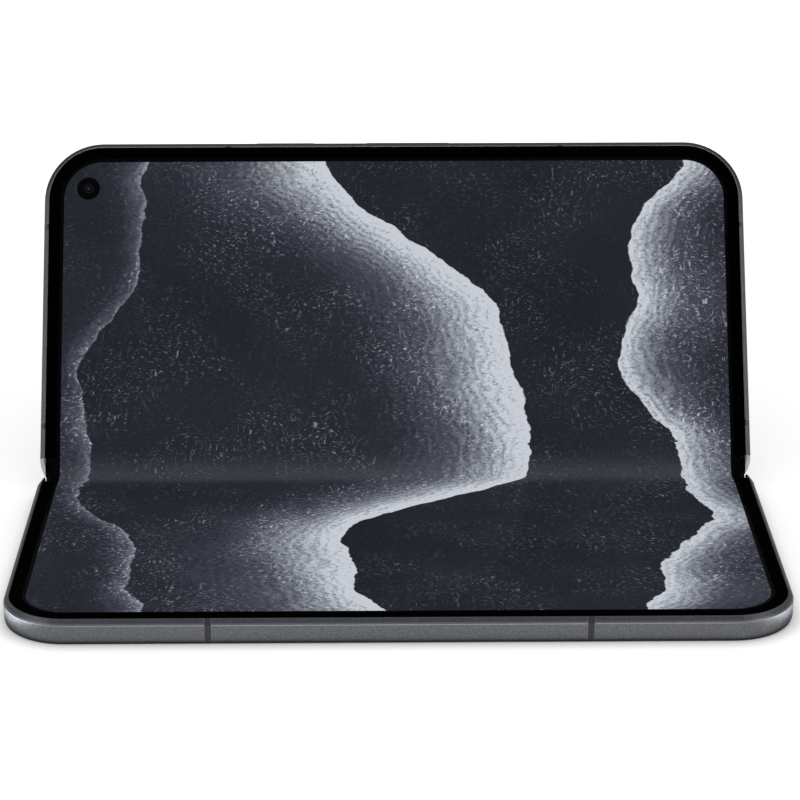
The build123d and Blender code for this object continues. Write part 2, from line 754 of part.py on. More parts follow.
def arm_screws():
    """Flat-headed screws that hold the arms under the middle plate."""
    screws = []
    for place in screw_places():
        shank = upright(SCREW_R, place, ARM_SEAT, Z_FLOOR)
        screws.append(shank + upright(SCREW_HEAD_R, place, Z_FLOOR - SCREW_HEAD, Z_FLOOR))
    return group(*screws)


def rail_slot():
    """Groove for the lower arm's rail and neck."""
    outer = section_disc(RAIL_R_OUT + RAIL_RUN, -AXIS_Y, AXIS_Z)
    inner = section_disc(RAIL_R_IN - RAIL_RUN, -AXIS_Y, AXIS_Z)
    mouth = section_box(-FAR, MOUTH_RUN - NECK_RISE_S, ARM_SEAT - MOUTH_DROP, THROUGH)
    return along_x((outer - inner) + mouth, -RAIL_FAR, -RAIL_NEAR)


def bracket():
    """Fixed block of one hinge module: rail grooves outside, gear slot and its pins inside."""
    profile = spine_section(BRACKET_R, BRACKET_TOP)
    profile += section_box(-AXIS_Y, AXIS_Y, SPINE_FLOOR, SPINE_FLOOR + BRACKET_FOOT)
    block = along_x(profile, -MODULE_HALF, MODULE_HALF)
    block -= rail_slot()
    block -= mirror(mirror(rail_slot(), about=Plane.YZ), about=Plane.XZ)
    half_slot = GEAR_SLOT / 2
    gear_room = section_box(-GEAR_ROOM_Y, GEAR_ROOM_Y, -FAR, THROUGH)
    gear_room += section_box(-FAR, FAR, OUTER_IDLER_Z, THROUGH)
    block -= along_x(gear_room, -half_slot, half_slot)
    for y, z, _, _ in train()[1:-1]:
        block += rod(IDLER_PIN_R, -half_slot - FIT, half_slot + FIT, y, z)
    return block


def idler_gears(place):
    """The two idlers on one axis, turned with the train to the rest pose; place 1 to 4."""
    half = GEAR_SLOT / 2 - SIDE_RUN
    y, z, teeth, phase = train()[place]
    turned = HALF_FOLD_DEG * IDLER_TURN * (1 if place % 2 else -1)
    points = toothed_disc(teeth, IDLER_R, phase + turned)
    gear = along_x(section([(y + dy, z + dz) for dy, dz in points]), -half, half)
    return at_modules(gear - rod(IDLER_PIN_R + IDLER_RUN, -half, half, y, z))


def wing_plate():
    """Support plate under the bending display, hinged at its outer edge."""
    leaf_z = Z_FLOOR - WING_THICKNESS
    bead_z = leaf_z + WING_BEAD_R
    leaf = box(-WING_HALF_LENGTH, WING_HALF_LENGTH, WING_INNER, FOLD_ZONE, leaf_z, Z_FLOOR)
    leaf += rod(WING_BEAD_R, -WING_HALF_LENGTH, WING_HALF_LENGTH, -FOLD_ZONE, bead_z)
    half = MODULE_HALF + NECK_UNDER
    for x in MODULES:
        leaf -= box(x - half, x + half, 0, NECK_END_S + NECK_UNDER, -FAR, THROUGH)
    return turn(-FOLD_ZONE, bead_z, -HALF_FOLD_DEG * WING_RATIO) * leaf


# ---------------------------------------------------------------- bending zone of the display


def bend_values(fold_deg):
    """Start point, angles, bottom radius and straight run of the bent display's middle line."""
    fold = math.radians(fold_deg)
    tilt = fold * WING_RATIO
    total = fold + tilt
    dy = AXIS_Y - FOLD_ZONE
    dz = Z_DISPLAY - DISPLAY_THICKNESS / 2 - AXIS_Z
    start_y = -AXIS_Y + dy * math.cos(fold) + dz * math.sin(fold)
    start_z = AXIS_Z - dy * math.sin(fold) + dz * math.cos(fold)
    free = FOLD_ZONE - BEND_TOP_R * tilt
    reach = -start_y - BEND_TOP_R * (math.sin(total) - math.sin(fold)) - free * math.cos(total)
    bottom_r = reach / (math.sin(total) - total * math.cos(total))
    return start_y, start_z, fold, total, bottom_r, free - bottom_r * total


def top_point(values, angle, offset):
    """Point on the top bend, where the display still follows the half."""
    start_y, start_z, fold, _, _, _ = values
    centre_y = start_y - BEND_TOP_R * math.sin(fold)
    centre_z = start_z - BEND_TOP_R * math.cos(fold)
    r = BEND_TOP_R + offset
    return centre_y + r * math.sin(angle), centre_z + r * math.cos(angle)


def bottom_centre(values):
    """Height of the bottom arc's centre over the fold line, in the spine's frame."""
    _, _, _, total, bottom_r, straight = values
    _, turn_z = top_point(values, total, 0)
    return turn_z - straight * math.sin(total) + bottom_r * math.cos(total)


def closed_loop():
    """Room for the closed display's loop, as a half sees it."""
    values = bend_values(90.0)
    bottom_r = values[4]
    y = -AXIS_Y - (bottom_centre(values) - AXIS_Z)
    z = AXIS_Z + AXIS_Y
    return section_disc(bottom_r + DISPLAY_THICKNESS / 2 + BEND_CLEARANCE, y, z)


def fold_face_edges(values, offset):
    """Bends, straight runs and bottom arc on one face of the display, with its two ends."""
    _, _, fold, total, bottom_r, _ = values
    centre_z = bottom_centre(values)
    r = bottom_r - offset
    a = top_point(values, fold, offset)
    b = top_point(values, (fold + total) / 2, offset)
    c = top_point(values, total, offset)
    d = (-r * math.sin(total), centre_z - r * math.cos(total))
    e = (0, centre_z - r)
    f, g, h, i = [(-y, z) for y, z in (d, c, b, a)]
    edges = [ThreePointArc(a, b, c), Line(c, d), ThreePointArc(d, e, f), Line(f, g)]
    return edges + [ThreePointArc(g, h, i)], a, i


def fold_strip():
    """The display's bending zone at rest: top bends, straight runs and the bottom arc."""
    values = bend_values(HALF_FOLD_DEG)
    front, front_a, front_i = fold_face_edges(values, DISPLAY_THICKNESS / 2)
    back, back_a, back_i = fold_face_edges(values, -DISPLAY_THICKNESS / 2)
    ends = [Line(front_a, back_a), Line(front_i, back_i)]
    face = Plane.YZ * make_face(Wire(front + back + ends))
    return along_x(face, -X_DISPLAY, X_DISPLAY)


# ---------------------------------------------------------------- lower half


def tray_solid(gap):
    """Card tray with its face in the short side wall; gap widens it for its slot."""
    half_s = TRAY_WIDTH / 2 + gap
    half_z = TRAY_THICKNESS / 2 + gap
    x_low = X_EDGE - TRAY_LENGTH
    z_low = -TRAY_DEPTH - half_z
    return box(x_low, X_EDGE, S_MIDDLE - half_s, S_MIDDLE + half_s, z_low, half_z - TRAY_DEPTH)


def lower_frame():
    """Frame of the half that lies on the table, with the tray's slot and the earpiece slit."""
    slit_s = S_INNER + EARPIECE_WIDTH / 2
    slit = Plane.YZ * Pos(-slit_s, (Z_BAY + Z_PANEL) / 2) * SlotOverall(SLIT_LENGTH, SLIT_HEIGHT)
    return half_frame(-1) - tray_solid(FIT) - along_x(slit, -X_EDGE - THROUGH, THROUGH - X_BAY)


def glass_outline():
    """Outline of the glass behind a half."""
    return half_outline(GLASS_INSET, S_BAR + FIT)


def cover_glass():
    """Outer glass of a half; the phone rests on the lower one."""
    glass = plate(glass_outline(), Z_BACK, Z_GLASS)
    return chamfer(glass.faces().sort_by(Axis.Z)[0].edges(), GLASS_CHAMFER)


def cover_display_panel():
    """Cover display behind the cover glass, with a hole for its camera."""
    s_low = S_ROOT_END + PANEL_START
    s_high = S_BAY_END - PANEL_EDGE
    sketch = RectangleRounded(2 * (X_BAY - PANEL_EDGE), s_high - s_low, CORNER_R - WALL - PANEL_EDGE)
    panel = plate(Pos(0, -(s_low + s_high) / 2) * sketch, Z_GLASS, Z_PANEL)
    place = (X_COVER_CAMERA, S_MIDDLE)
    return panel - upright(COVER_CAMERA_R + PIECE_GAP, place, Z_GLASS - THROUGH, 0)


def cover_camera():
    """Camera behind the hole in the cover display."""
    place = (X_COVER_CAMERA, S_MIDDLE)
    z_step = Z_PANEL + PIECE_GAP
    barrel = upright(COVER_CAMERA_R, place, Z_GLASS, z_step)
    return barrel + square_box(place, COVER_CAMERA_HOUSING, z_step, Z_BAY)


def battery(s_end, z_low):
    """Battery between the boards and the port side."""
    cell = box(X_CELL_LOW, X_CELL_HIGH, S_INNER, s_end, z_low, Z_BAY)
    return fillet(cell.edges().filter_by(Axis.X), CELL_R)


def lower_battery():
    """Battery of the lower half."""
    return battery(S_BAY_END - LOWER_CELL_END, Z_PANEL + LOWER_CELL_LIFT)


def lower_board():
    """Small circuit board of the lower half, with notches beside its screws."""
    x_low = LOWER_BOARD_START - X_BAY
    s_end = S_BAY_END - LOWER_BOARD_END
    board = box(x_low, X_BOARD_END, S_INNER, s_end, Z_BAY - LOWER_BOARD_THICKNESS, Z_BAY)
    board -= upright(BOARD_NOTCH_R, (x_low, S_INNER), -FAR, 0)
    return board - upright(BOARD_NOTCH_R, (X_BOARD_END, s_end), -FAR, 0)


def can(x_low, x_high, s_low, s_high, z_low, z_high):
    """Shield can, open towards its board."""
    shell = box(x_low, x_high, s_low, s_high, z_low, z_high)
    return shell - box(
        x_low + CAN_WALL,
        x_high - CAN_WALL,
        s_low + CAN_WALL,
        s_high - CAN_WALL,
        z_low + CAN_WALL,
        z_high + THROUGH,
    )


def lower_shield():
    """Shield can on the lower board."""
    x_low = LOWER_BOARD_START + LOWER_CAN_SIDE - X_BAY
    x_high = X_BOARD_END - LOWER_CAN_SIDE
    s_high = S_BAY_END - LOWER_BOARD_END - LOWER_CAN_END
    z_high = Z_BAY - LOWER_BOARD_THICKNESS
    return can(x_low, x_high, S_INNER + LOWER_CAN_END, s_high, Z_PANEL + PIECE_GAP, z_high)


def earpiece_speaker():
    """Speaker behind the slit in the top end wall."""
    x_low = PIECE_GAP - X_BAY
    s_high = S_INNER + EARPIECE_WIDTH
    return box(x_low, x_low + EARPIECE_LENGTH, S_INNER, s_high, Z_PANEL + PIECE_GAP, Z_BAY)


def vibration_motor():
    """Linear vibration motor beside the battery."""
    x_low = X_CELL_HIGH + CELL_GAP
    s_high = S_BAY_END - MOTOR_END
    return box(x_low, x_low + MOTOR_LENGTH, s_high - MOTOR_WIDTH, s_high, Z_PANEL + PIECE_GAP, Z_BAY)


def sim_reader():
    """Open reader around the card tray."""
    x_low = X_EDGE - TRAY_LENGTH - READER_MARGIN
    half = TRAY_WIDTH / 2 + READER_MARGIN
    z_low = Z_BAY - READER_THICKNESS
    shell = box(x_low, X_BAY - 2 * FIT, S_MIDDLE - half, S_MIDDLE + half, z_low, Z_BAY)
    return shell - tray_solid(FIT)


def magnets():
    """Closing magnets near the outer edge."""
    blocks = []
    s_high = S_BAY_END - MAGNET_END
    half = MAGNET_LENGTH / 2
    for x in (MAGNET_INSET - X_BAY, X_BAY - MAGNET_INSET):
        z_low = Z_BAY - MAGNET_HEIGHT
        blocks.append(box(x - half, x + half, s_high - MAGNET_WIDTH, s_high, z_low, Z_BAY))
    return group(*blocks)


# ---------------------------------------------------------------- upper half


def usb_section(inset):
    """Rounded outline of the charging port in the end wall."""
    slot = SlotOverall(USB_WIDTH - 2 * inset, USB_HEIGHT - 2 * inset)
    return Plane.YZ * Pos(-S_MIDDLE, USB_Z) * slot


def key_stem(x, length, s_near, s_far, gap):
    """Rounded bar of a key along Y; gap widens it for its opening."""
    half_h = KEY_HEIGHT / 2 + gap
    half_l = length / 2 + gap
    stem = box(x - half_l, x + half_l, s_near, s_far, KEY_Z - half_h, KEY_Z + half_h)
    return fillet(stem.edges().filter_by(Axis.Y), half_h - FIT)


def key_opening(x, length):
    """Opening of a key through the outer wall."""
    return key_stem(x, length, S_BAY_END - THROUGH, HALF_DEPTH + THROUGH, KEY_RUN)


def key(x, length, seat):
    """Key with the flange that keeps it in the wall."""
    s_back = S_BAY_END - seat
    stem = key_stem(x, length, s_back - KEY_FLANGE / 2, HALF_DEPTH + KEY_PROUD, 0)
    stem = chamfer(stem.faces().sort_by(Axis.Y)[0].edges(), KEY_EDGE)
    half_l = length / 2 + KEY_LEDGE
    half_h = (KEY_HEIGHT + KEY_LEDGE) / 2
    s_low = s_back - KEY_FLANGE
    return stem + box(x - half_l, x + half_l, s_low, s_back, KEY_Z - half_h, KEY_Z + half_h)


def power_button():
    """Power button, which slides in by its travel."""
    return key(POWER_X, POWER_LENGTH, KEY_SEAT)


def volume_rocker():
    """Volume rocker, with room to rock both ways."""
    return key(VOLUME_X, VOLUME_LENGTH, ROCK_ROOM)


def button_switches():
    """Dome switches behind the keys, on one strip."""
    s_power = S_BAY_END - KEY_SEAT - KEY_FLANGE - KEY_TRAVEL - SWITCH_GAP
    s_volume = S_BAY_END - KEY_FLANGE - 2 * ROCK_ROOM
    s_strip = s_power - SWITCH_DOME
    x_low = POWER_X - POWER_LENGTH / 2
    x_high = VOLUME_X + VOLUME_LENGTH / 2
    strip = box(x_low, x_high, s_strip - STRIP_DEPTH, s_strip, Z_GLASS + STRIP_LIFT, Z_BAY)
    spread = SWITCH_SPREAD / 2
    fronts = ((POWER_X, s_power), (VOLUME_X - spread, s_volume), (VOLUME_X + spread, s_volume))
    for x, s in fronts:
        half_l = SWITCH_LENGTH / 2
        half_h = SWITCH_HEIGHT / 2
        strip += box(x - half_l, x + half_l, s_strip, s, KEY_Z - half_h, KEY_Z + half_h)
    return strip


def upper_frame():
    """Frame of the half that leans back, with the keys, port, speaker and microphone holes."""
    frame = half_frame(1)
    frame -= key_opening(POWER_X, POWER_LENGTH)
    frame -= key_opening(VOLUME_X, VOLUME_LENGTH)
    frame -= along_x(usb_section(-FIT), X_BAY - THROUGH, X_EDGE + THROUGH)
    row = SPEAKER_HOLE_PITCH * (SPEAKER_HOLES - 1)
    for i in range(SPEAKER_HOLES):
        s = S_INNER + (SPEAKER_WIDTH - row) / 2 + SPEAKER_HOLE_PITCH * i
        frame -= end_hole(SPEAKER_HOLE_R, X_EDGE, s, USB_Z)
    for x in (-X_EDGE, X_EDGE):
        frame -= end_hole(MIC_HOLE_R, x, S_MIC, USB_Z)
    place = (X_INNER_CAMERA, S_INNER_CAMERA)
    return frame - upright(INNER_CAMERA_R + FIT, place, Z_BAY - THROUGH, THROUGH)


def inner_display_upper():
    """Glued part of the inner display, with the hole for its camera."""
    place = (X_INNER_CAMERA, S_INNER_CAMERA)
    return flat_display() - upright(INNER_LENS_R + FIT, place, Z_FLOOR - THROUGH, THROUGH)


def rear_cover():
    """Back of the upper half, with openings for the camera modules."""
    cover = cover_glass()
    for place in CAMERAS:
        cover -= upright(CAMERA_R + CAMERA_HOLE_GAP, place, Z_BACK - THROUGH, 0)
    return cover - upright(FLASH_R + FLASH_GAP, FLASH_PLACE, Z_BACK - THROUGH, 0)


def camera_plateau():
    """Raised metal plateau with a stepped seat for each window."""
    sketch = Pos(X_PLATEAU, -S_PLATEAU) * RectangleRounded(PLATEAU_SIZE, PLATEAU_SIZE, PLATEAU_R)
    body = plate(sketch, Z_PLATEAU, Z_BACK)
    body = chamfer(body.faces().sort_by(Axis.Z)[0].edges(), PLATEAU_EDGE)
    for place in CAMERAS:
        ring = upright(LENS_R + RING_WIDTH, place, Z_RING, Z_PLATEAU)
        body += chamfer(ring.faces().sort_by(Axis.Z)[0].edges(), RING_CHAMFER)
    for place in CAMERAS:
        body -= upright(CAMERA_R + CAMERA_HOLE_GAP, place, Z_RING - THROUGH, Z_BACK + THROUGH)
        body -= upright(LENS_R + FIT, place, Z_RING - THROUGH, Z_RING + WINDOW_THICKNESS)
    return body - upright(FLASH_R + FLASH_GAP, FLASH_PLACE, Z_RING - THROUGH, Z_BACK + THROUGH)


def camera_windows():
    """Glass windows over the three cameras."""
    return group(*[upright(LENS_R, place, Z_RING, Z_RING + WINDOW_THICKNESS) for place in CAMERAS])


def camera_module(place, barrel_r):
    """Rear camera: square base under the middle plate and a stepped barrel."""
    z_window = Z_RING + WINDOW_THICKNESS + CAMERA_CLEAR
    base = square_box(place, CAMERA_BASE, Z_GLASS + PIECE_GAP, Z_BAY)
    base += upright(CAMERA_R, place, z_window + CAMERA_STEP, Z_BAY)
    return base + upright(barrel_r, place, z_window, Z_BAY)


def flash_lens():
    """Flash lens in the plateau, on its square base."""
    z_step = Z_GLASS + PIECE_GAP
    stem = upright(FLASH_R, FLASH_PLACE, Z_PLATEAU, z_step)
    return stem + square_box(FLASH_PLACE, FLASH_BASE, z_step, Z_BAY)


def inner_camera():
    """Camera that looks through the hole in the inner display."""
    place = (X_INNER_CAMERA, S_INNER_CAMERA)
    lens = upright(INNER_LENS_R, place, Z_FLOOR, Z_DISPLAY - FIT)
    barrel = upright(INNER_CAMERA_R, place, Z_BAY, Z_FLOOR)
    return lens + barrel + square_box(place, INNER_HOUSING, Z_BAY - INNER_HOUSING_DEPTH, Z_BAY)


def upper_battery():
    """Battery of the upper half, on the charging coil."""
    return battery(S_BAY_END - UPPER_CELL_END, Z_GLASS + COIL_THICKNESS)


def wireless_coil():
    """Flat charging coil between the battery and the rear cover."""
    place = (CELL_MIDDLE, (S_INNER + S_BAY_END - UPPER_CELL_END) / 2)
    disc = upright(COIL_R_OUT, place, Z_GLASS, Z_GLASS + COIL_THICKNESS)
    return disc - upright(COIL_R_IN, place, Z_GLASS - THROUGH, 0)


def main_board():
    """Main circuit board, cut back round the cameras."""
    z_low = Z_BAY - MAIN_BOARD_THICKNESS
    x_low = MAIN_BOARD_START - X_BAY
    board = box(x_low, X_BOARD_END, S_INNER, CAMERA_TELE[1], z_low, Z_BAY)
    x_arm = X_BOARD_END - MAIN_BOARD_ARM
    board += box(x_arm, X_BOARD_END, CAMERA_TELE[1], S_BAY_END - MAIN_BOARD_END, z_low, Z_BAY)
    for place in CAMERAS + (FLASH_PLACE,):
        board -= square_box(place, CAMERA_BASE + 2 * PIECE_GAP, -FAR, 0)
    return board


def board_shields():
    """Two shield cans on the main board."""
    x_low = MAIN_BOARD_START + MAIN_CAN_SIDE - X_BAY
    x_high = X_BOARD_END - MAIN_CAN_SIDE
    x_split = x_low + (x_high - x_low) * MAIN_CAN_SPLIT
    s_low = S_INNER + MAIN_CAN_SIDE
    s_high = CAMERA_TELE[1] - CAMERA_BASE / 2 - MAIN_CAN_SIDE
    z_low = Z_GLASS + MAIN_CAN_LIFT
    z_high = Z_BAY - MAIN_BOARD_THICKNESS
    first = can(x_low, x_split - MAIN_CAN_GAP / 2, s_low, s_high, z_low, z_high)
    return group(first, can(x_split + MAIN_CAN_GAP / 2, x_high, s_low, s_high, z_low, z_high))


def loudspeaker():
    """Loudspeaker behind the holes in the bottom end wall."""
    x_high = X_BAY - SPEAKER_END
    s_high = S_INNER + SPEAKER_WIDTH
    return box(x_high - SPEAKER_LENGTH, x_high, S_INNER, s_high, Z_GLASS + PIECE_GAP, Z_BAY)


def usb_shell():
    """Metal shell of the charging port, open at the end wall."""
    start = X_EDGE - USB_DEPTH
    shell = along_x(usb_section(0), start, X_EDGE - USB_RECESS)
    return shell - along_x(usb_section(USB_WALL), start + USB_BACK, X_EDGE + THROUGH)


def usb_tongue():
    """Contact tongue in the charging port."""
    x_low = X_EDGE - USB_DEPTH + USB_BACK
    half_w = TONGUE_WIDTH / 2
    half_h = TONGUE_HEIGHT / 2
    s_low = S_MIDDLE - half_w
    s_high = S_MIDDLE + half_w
    tongue = box(x_low, x_low + TONGUE_LENGTH, s_low, s_high, USB_Z - half_h, USB_Z + half_h)
    return chamfer(tongue.faces().sort_by(Axis.X)[-1].edges(), TONGUE_CHAMFER)


def microphones():
    """Microphones behind the small holes in both end walls."""
    far = X_BAY - PIECE_GAP
    near = far - MIC_DEPTH
    s_low = S_MIC - MIC_WIDTH / 2
    s_high = S_MIC + MIC_WIDTH / 2
    z_low = Z_BAY - MIC_HEIGHT
    right = box(near, far, s_low, s_high, z_low, Z_BAY)
    return group(right, box(-far, -near, s_low, s_high, z_low, Z_BAY))


# ---------------------------------------------------------------- nodes

LOWER_NODES = {
    "lower_frame": lower_frame,
    "lower_antenna_bands": antenna_bands,
    "lower_corner_caps": corner_caps,
    "lower_bezel": bezel,
    "inner_display_lower": flat_display,
    "cover_glass": cover_glass,
    "cover_display_panel": cover_display_panel,
    "cover_camera": cover_camera,
    "lower_battery": lower_battery,
    "lower_board": lower_board,
    "lower_shield": lower_shield,
    "earpiece_speaker": earpiece_speaker,
    "vibration_motor": vibration_motor,
    "sim_tray": lambda: tray_solid(0),
    "sim_reader": sim_reader,
    "lower_magnets": magnets,
    "lower_hinge_arms": lambda: at_modules(hinge_arm(-1)),
    "lower_arm_screws": arm_screws,
    "lower_wing_plate": wing_plate,
}

SPINE_NODES = {
    "spine_cover": spine_cover,
    "spine_end_plugs": spine_end_plugs,
    "hinge_brackets": lambda: at_modules(bracket()),
    "idler_outer_lower": lambda: idler_gears(1),
    "idler_inner_lower": lambda: idler_gears(2),
    "idler_inner_upper": lambda: idler_gears(3),
    "idler_outer_upper": lambda: idler_gears(4),
    "inner_display_fold": fold_strip,
}

UPPER_NODES = {
    "upper_frame": upper_frame,
    "upper_antenna_bands": antenna_bands,
    "upper_corner_caps": corner_caps,
    "upper_bezel": bezel,
    "inner_display_upper": inner_display_upper,
    "rear_cover": rear_cover,
    "camera_plateau": camera_plateau,
    "camera_windows": camera_windows,
    "camera_main": lambda: camera_module(CAMERA_MAIN, BARREL_R_MAIN),
    "camera_ultrawide": lambda: camera_module(CAMERA_WIDE, BARREL_R_WIDE),
    "camera_tele": lambda: camera_module(CAMERA_TELE, BARREL_R_TELE),
    "flash_lens": flash_lens,
    "inner_camera": inner_camera,
    "upper_battery": upper_battery,
    "wireless_coil": wireless_coil,
    "main_board": main_board,
    "board_shields": board_shields,
    "loudspeaker": loudspeaker,
    "usb_shell": usb_shell,
    "usb_tongue": usb_tongue,
    "power_button": power_button,
    "volume_rocker": volume_rocker,
    "button_switches": button_switches,
    "upper_magnets": magnets,
    "microphones": microphones,
    "upper_hinge_arms": lambda: at_modules(hinge_arm(1)),
    "upper_arm_screws": arm_screws,
    "upper_wing_plate": wing_plate,
}


def main():
    """Write every node at its rest pose."""
    os.makedirs("parts", exist_ok=True)
    for nodes, place in ((LOWER_NODES, to_lower), (SPINE_NODES, to_spine), (UPPER_NODES, to_upper)):
        for name, make in nodes.items():
            write(name, place(make()))


main()
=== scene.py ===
"""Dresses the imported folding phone: its bending screen, finishes, lenses, studio and camera."""

from __future__ import annotations

import logging
import math
from dataclasses import dataclass, replace
from enum import Enum

import bmesh
import bpy
import numpy as np
from mathutils import Matrix


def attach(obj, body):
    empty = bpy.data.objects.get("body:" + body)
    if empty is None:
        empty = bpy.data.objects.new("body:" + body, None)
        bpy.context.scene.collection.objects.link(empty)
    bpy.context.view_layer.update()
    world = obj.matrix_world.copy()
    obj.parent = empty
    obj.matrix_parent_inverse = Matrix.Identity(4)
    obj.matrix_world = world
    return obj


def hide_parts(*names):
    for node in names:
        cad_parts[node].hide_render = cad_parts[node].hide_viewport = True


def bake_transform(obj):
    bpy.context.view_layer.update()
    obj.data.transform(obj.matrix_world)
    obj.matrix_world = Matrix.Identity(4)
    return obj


LOG = logging.getLogger("folding_phone")
MM = 0.001
MM_PER_METRE = 1000.0
# The bending strips' UV map, and the millimetres in one unit of it.
UV_MAP = "screen"
UV_STEP = 100.0
BUMP_STRENGTH = 0.6
BEVEL_SAMPLES = 6
# 1 less the cosine of the rounded normal's turn, where the painted edge highlight starts and where
# it is full.
EDGE_HIGHLIGHT_TURN = (0.004, 0.08)
# Bands that one wave of the creased and of the tracked pattern is folded into.
CREASE_BANDS = 3.0
TRACK_BANDS = 4.0
# Shares by which the roughness of a finish and of a lens swings.
GLOSS_SWING = 0.1
HAZE_SWING = 0.4
# Metres within which doubled corners of a skin are joined, and within which a cut meets a corner.
WELD = 2e-7
CUT_REACH = 1e-7
# The least length in mm that a length is divided by.
TINY = 1e-9
# Vertical share of a direction over which it counts as straight up or down.
UPRIGHT = 0.99
WHITE = (1.0, 1.0, 1.0, 1.0)
Socket = bpy.types.NodeSocket
# What goes into a node's inputs, by their names or numbers.
Inputs = dict[str | int, Socket | float | tuple]
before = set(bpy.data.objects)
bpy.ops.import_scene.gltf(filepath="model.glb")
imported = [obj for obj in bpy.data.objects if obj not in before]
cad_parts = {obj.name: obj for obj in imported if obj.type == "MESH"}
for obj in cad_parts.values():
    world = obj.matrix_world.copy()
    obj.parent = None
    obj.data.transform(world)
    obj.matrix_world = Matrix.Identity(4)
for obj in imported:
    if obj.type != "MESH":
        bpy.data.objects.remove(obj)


def linear(tone: str, gain: float = 1.0) -> tuple[float, float, float, float]:
    """Linear colour of a written tone.

    Args:
        tone: The colour as #rrggbb, as a screen shows it.
        gain: Factor on the linear values.

    Returns:
        Red, green, blue and alpha, linear. Each channel c becomes ((c + 0.055) / 1.055) to the
        power 2.4, or c / 12.92 near black.
    """
    channels = []
    for start in (1, 3, 5):
        c = int(tone[start : start + 2], 16) / 255
        value = c / 12.92 if c <= 0.04045 else ((c + 0.055) / 1.055) ** 2.4
        channels.append(min(1.0, value * gain))
    return (channels[0], channels[1], channels[2], 1.0)


class Place(Enum):
    """Which part's own flat millimetre coordinates a pattern is drawn in."""

    ROW = (0.0, 0.0, 0.0)
    LOWER = (37.55, 5.1, 0.0)
    UPPER = (36.9205, 4.7427, -59.16)
    STRIP = (0.0, 0.0, 1.0)

    def settings(self) -> tuple[tuple[float, float, float], float]:
        """The shift in mm and the turn about X in radians that lead from the row to this part."""
        y, z, degrees = self.value
        turn = math.radians(degrees)
        shift_y = -(math.cos(turn) * y - math.sin(turn) * z)
        shift_z = -(math.sin(turn) * y + math.cos(turn) * z)
        return (0.0, shift_y, shift_z), turn


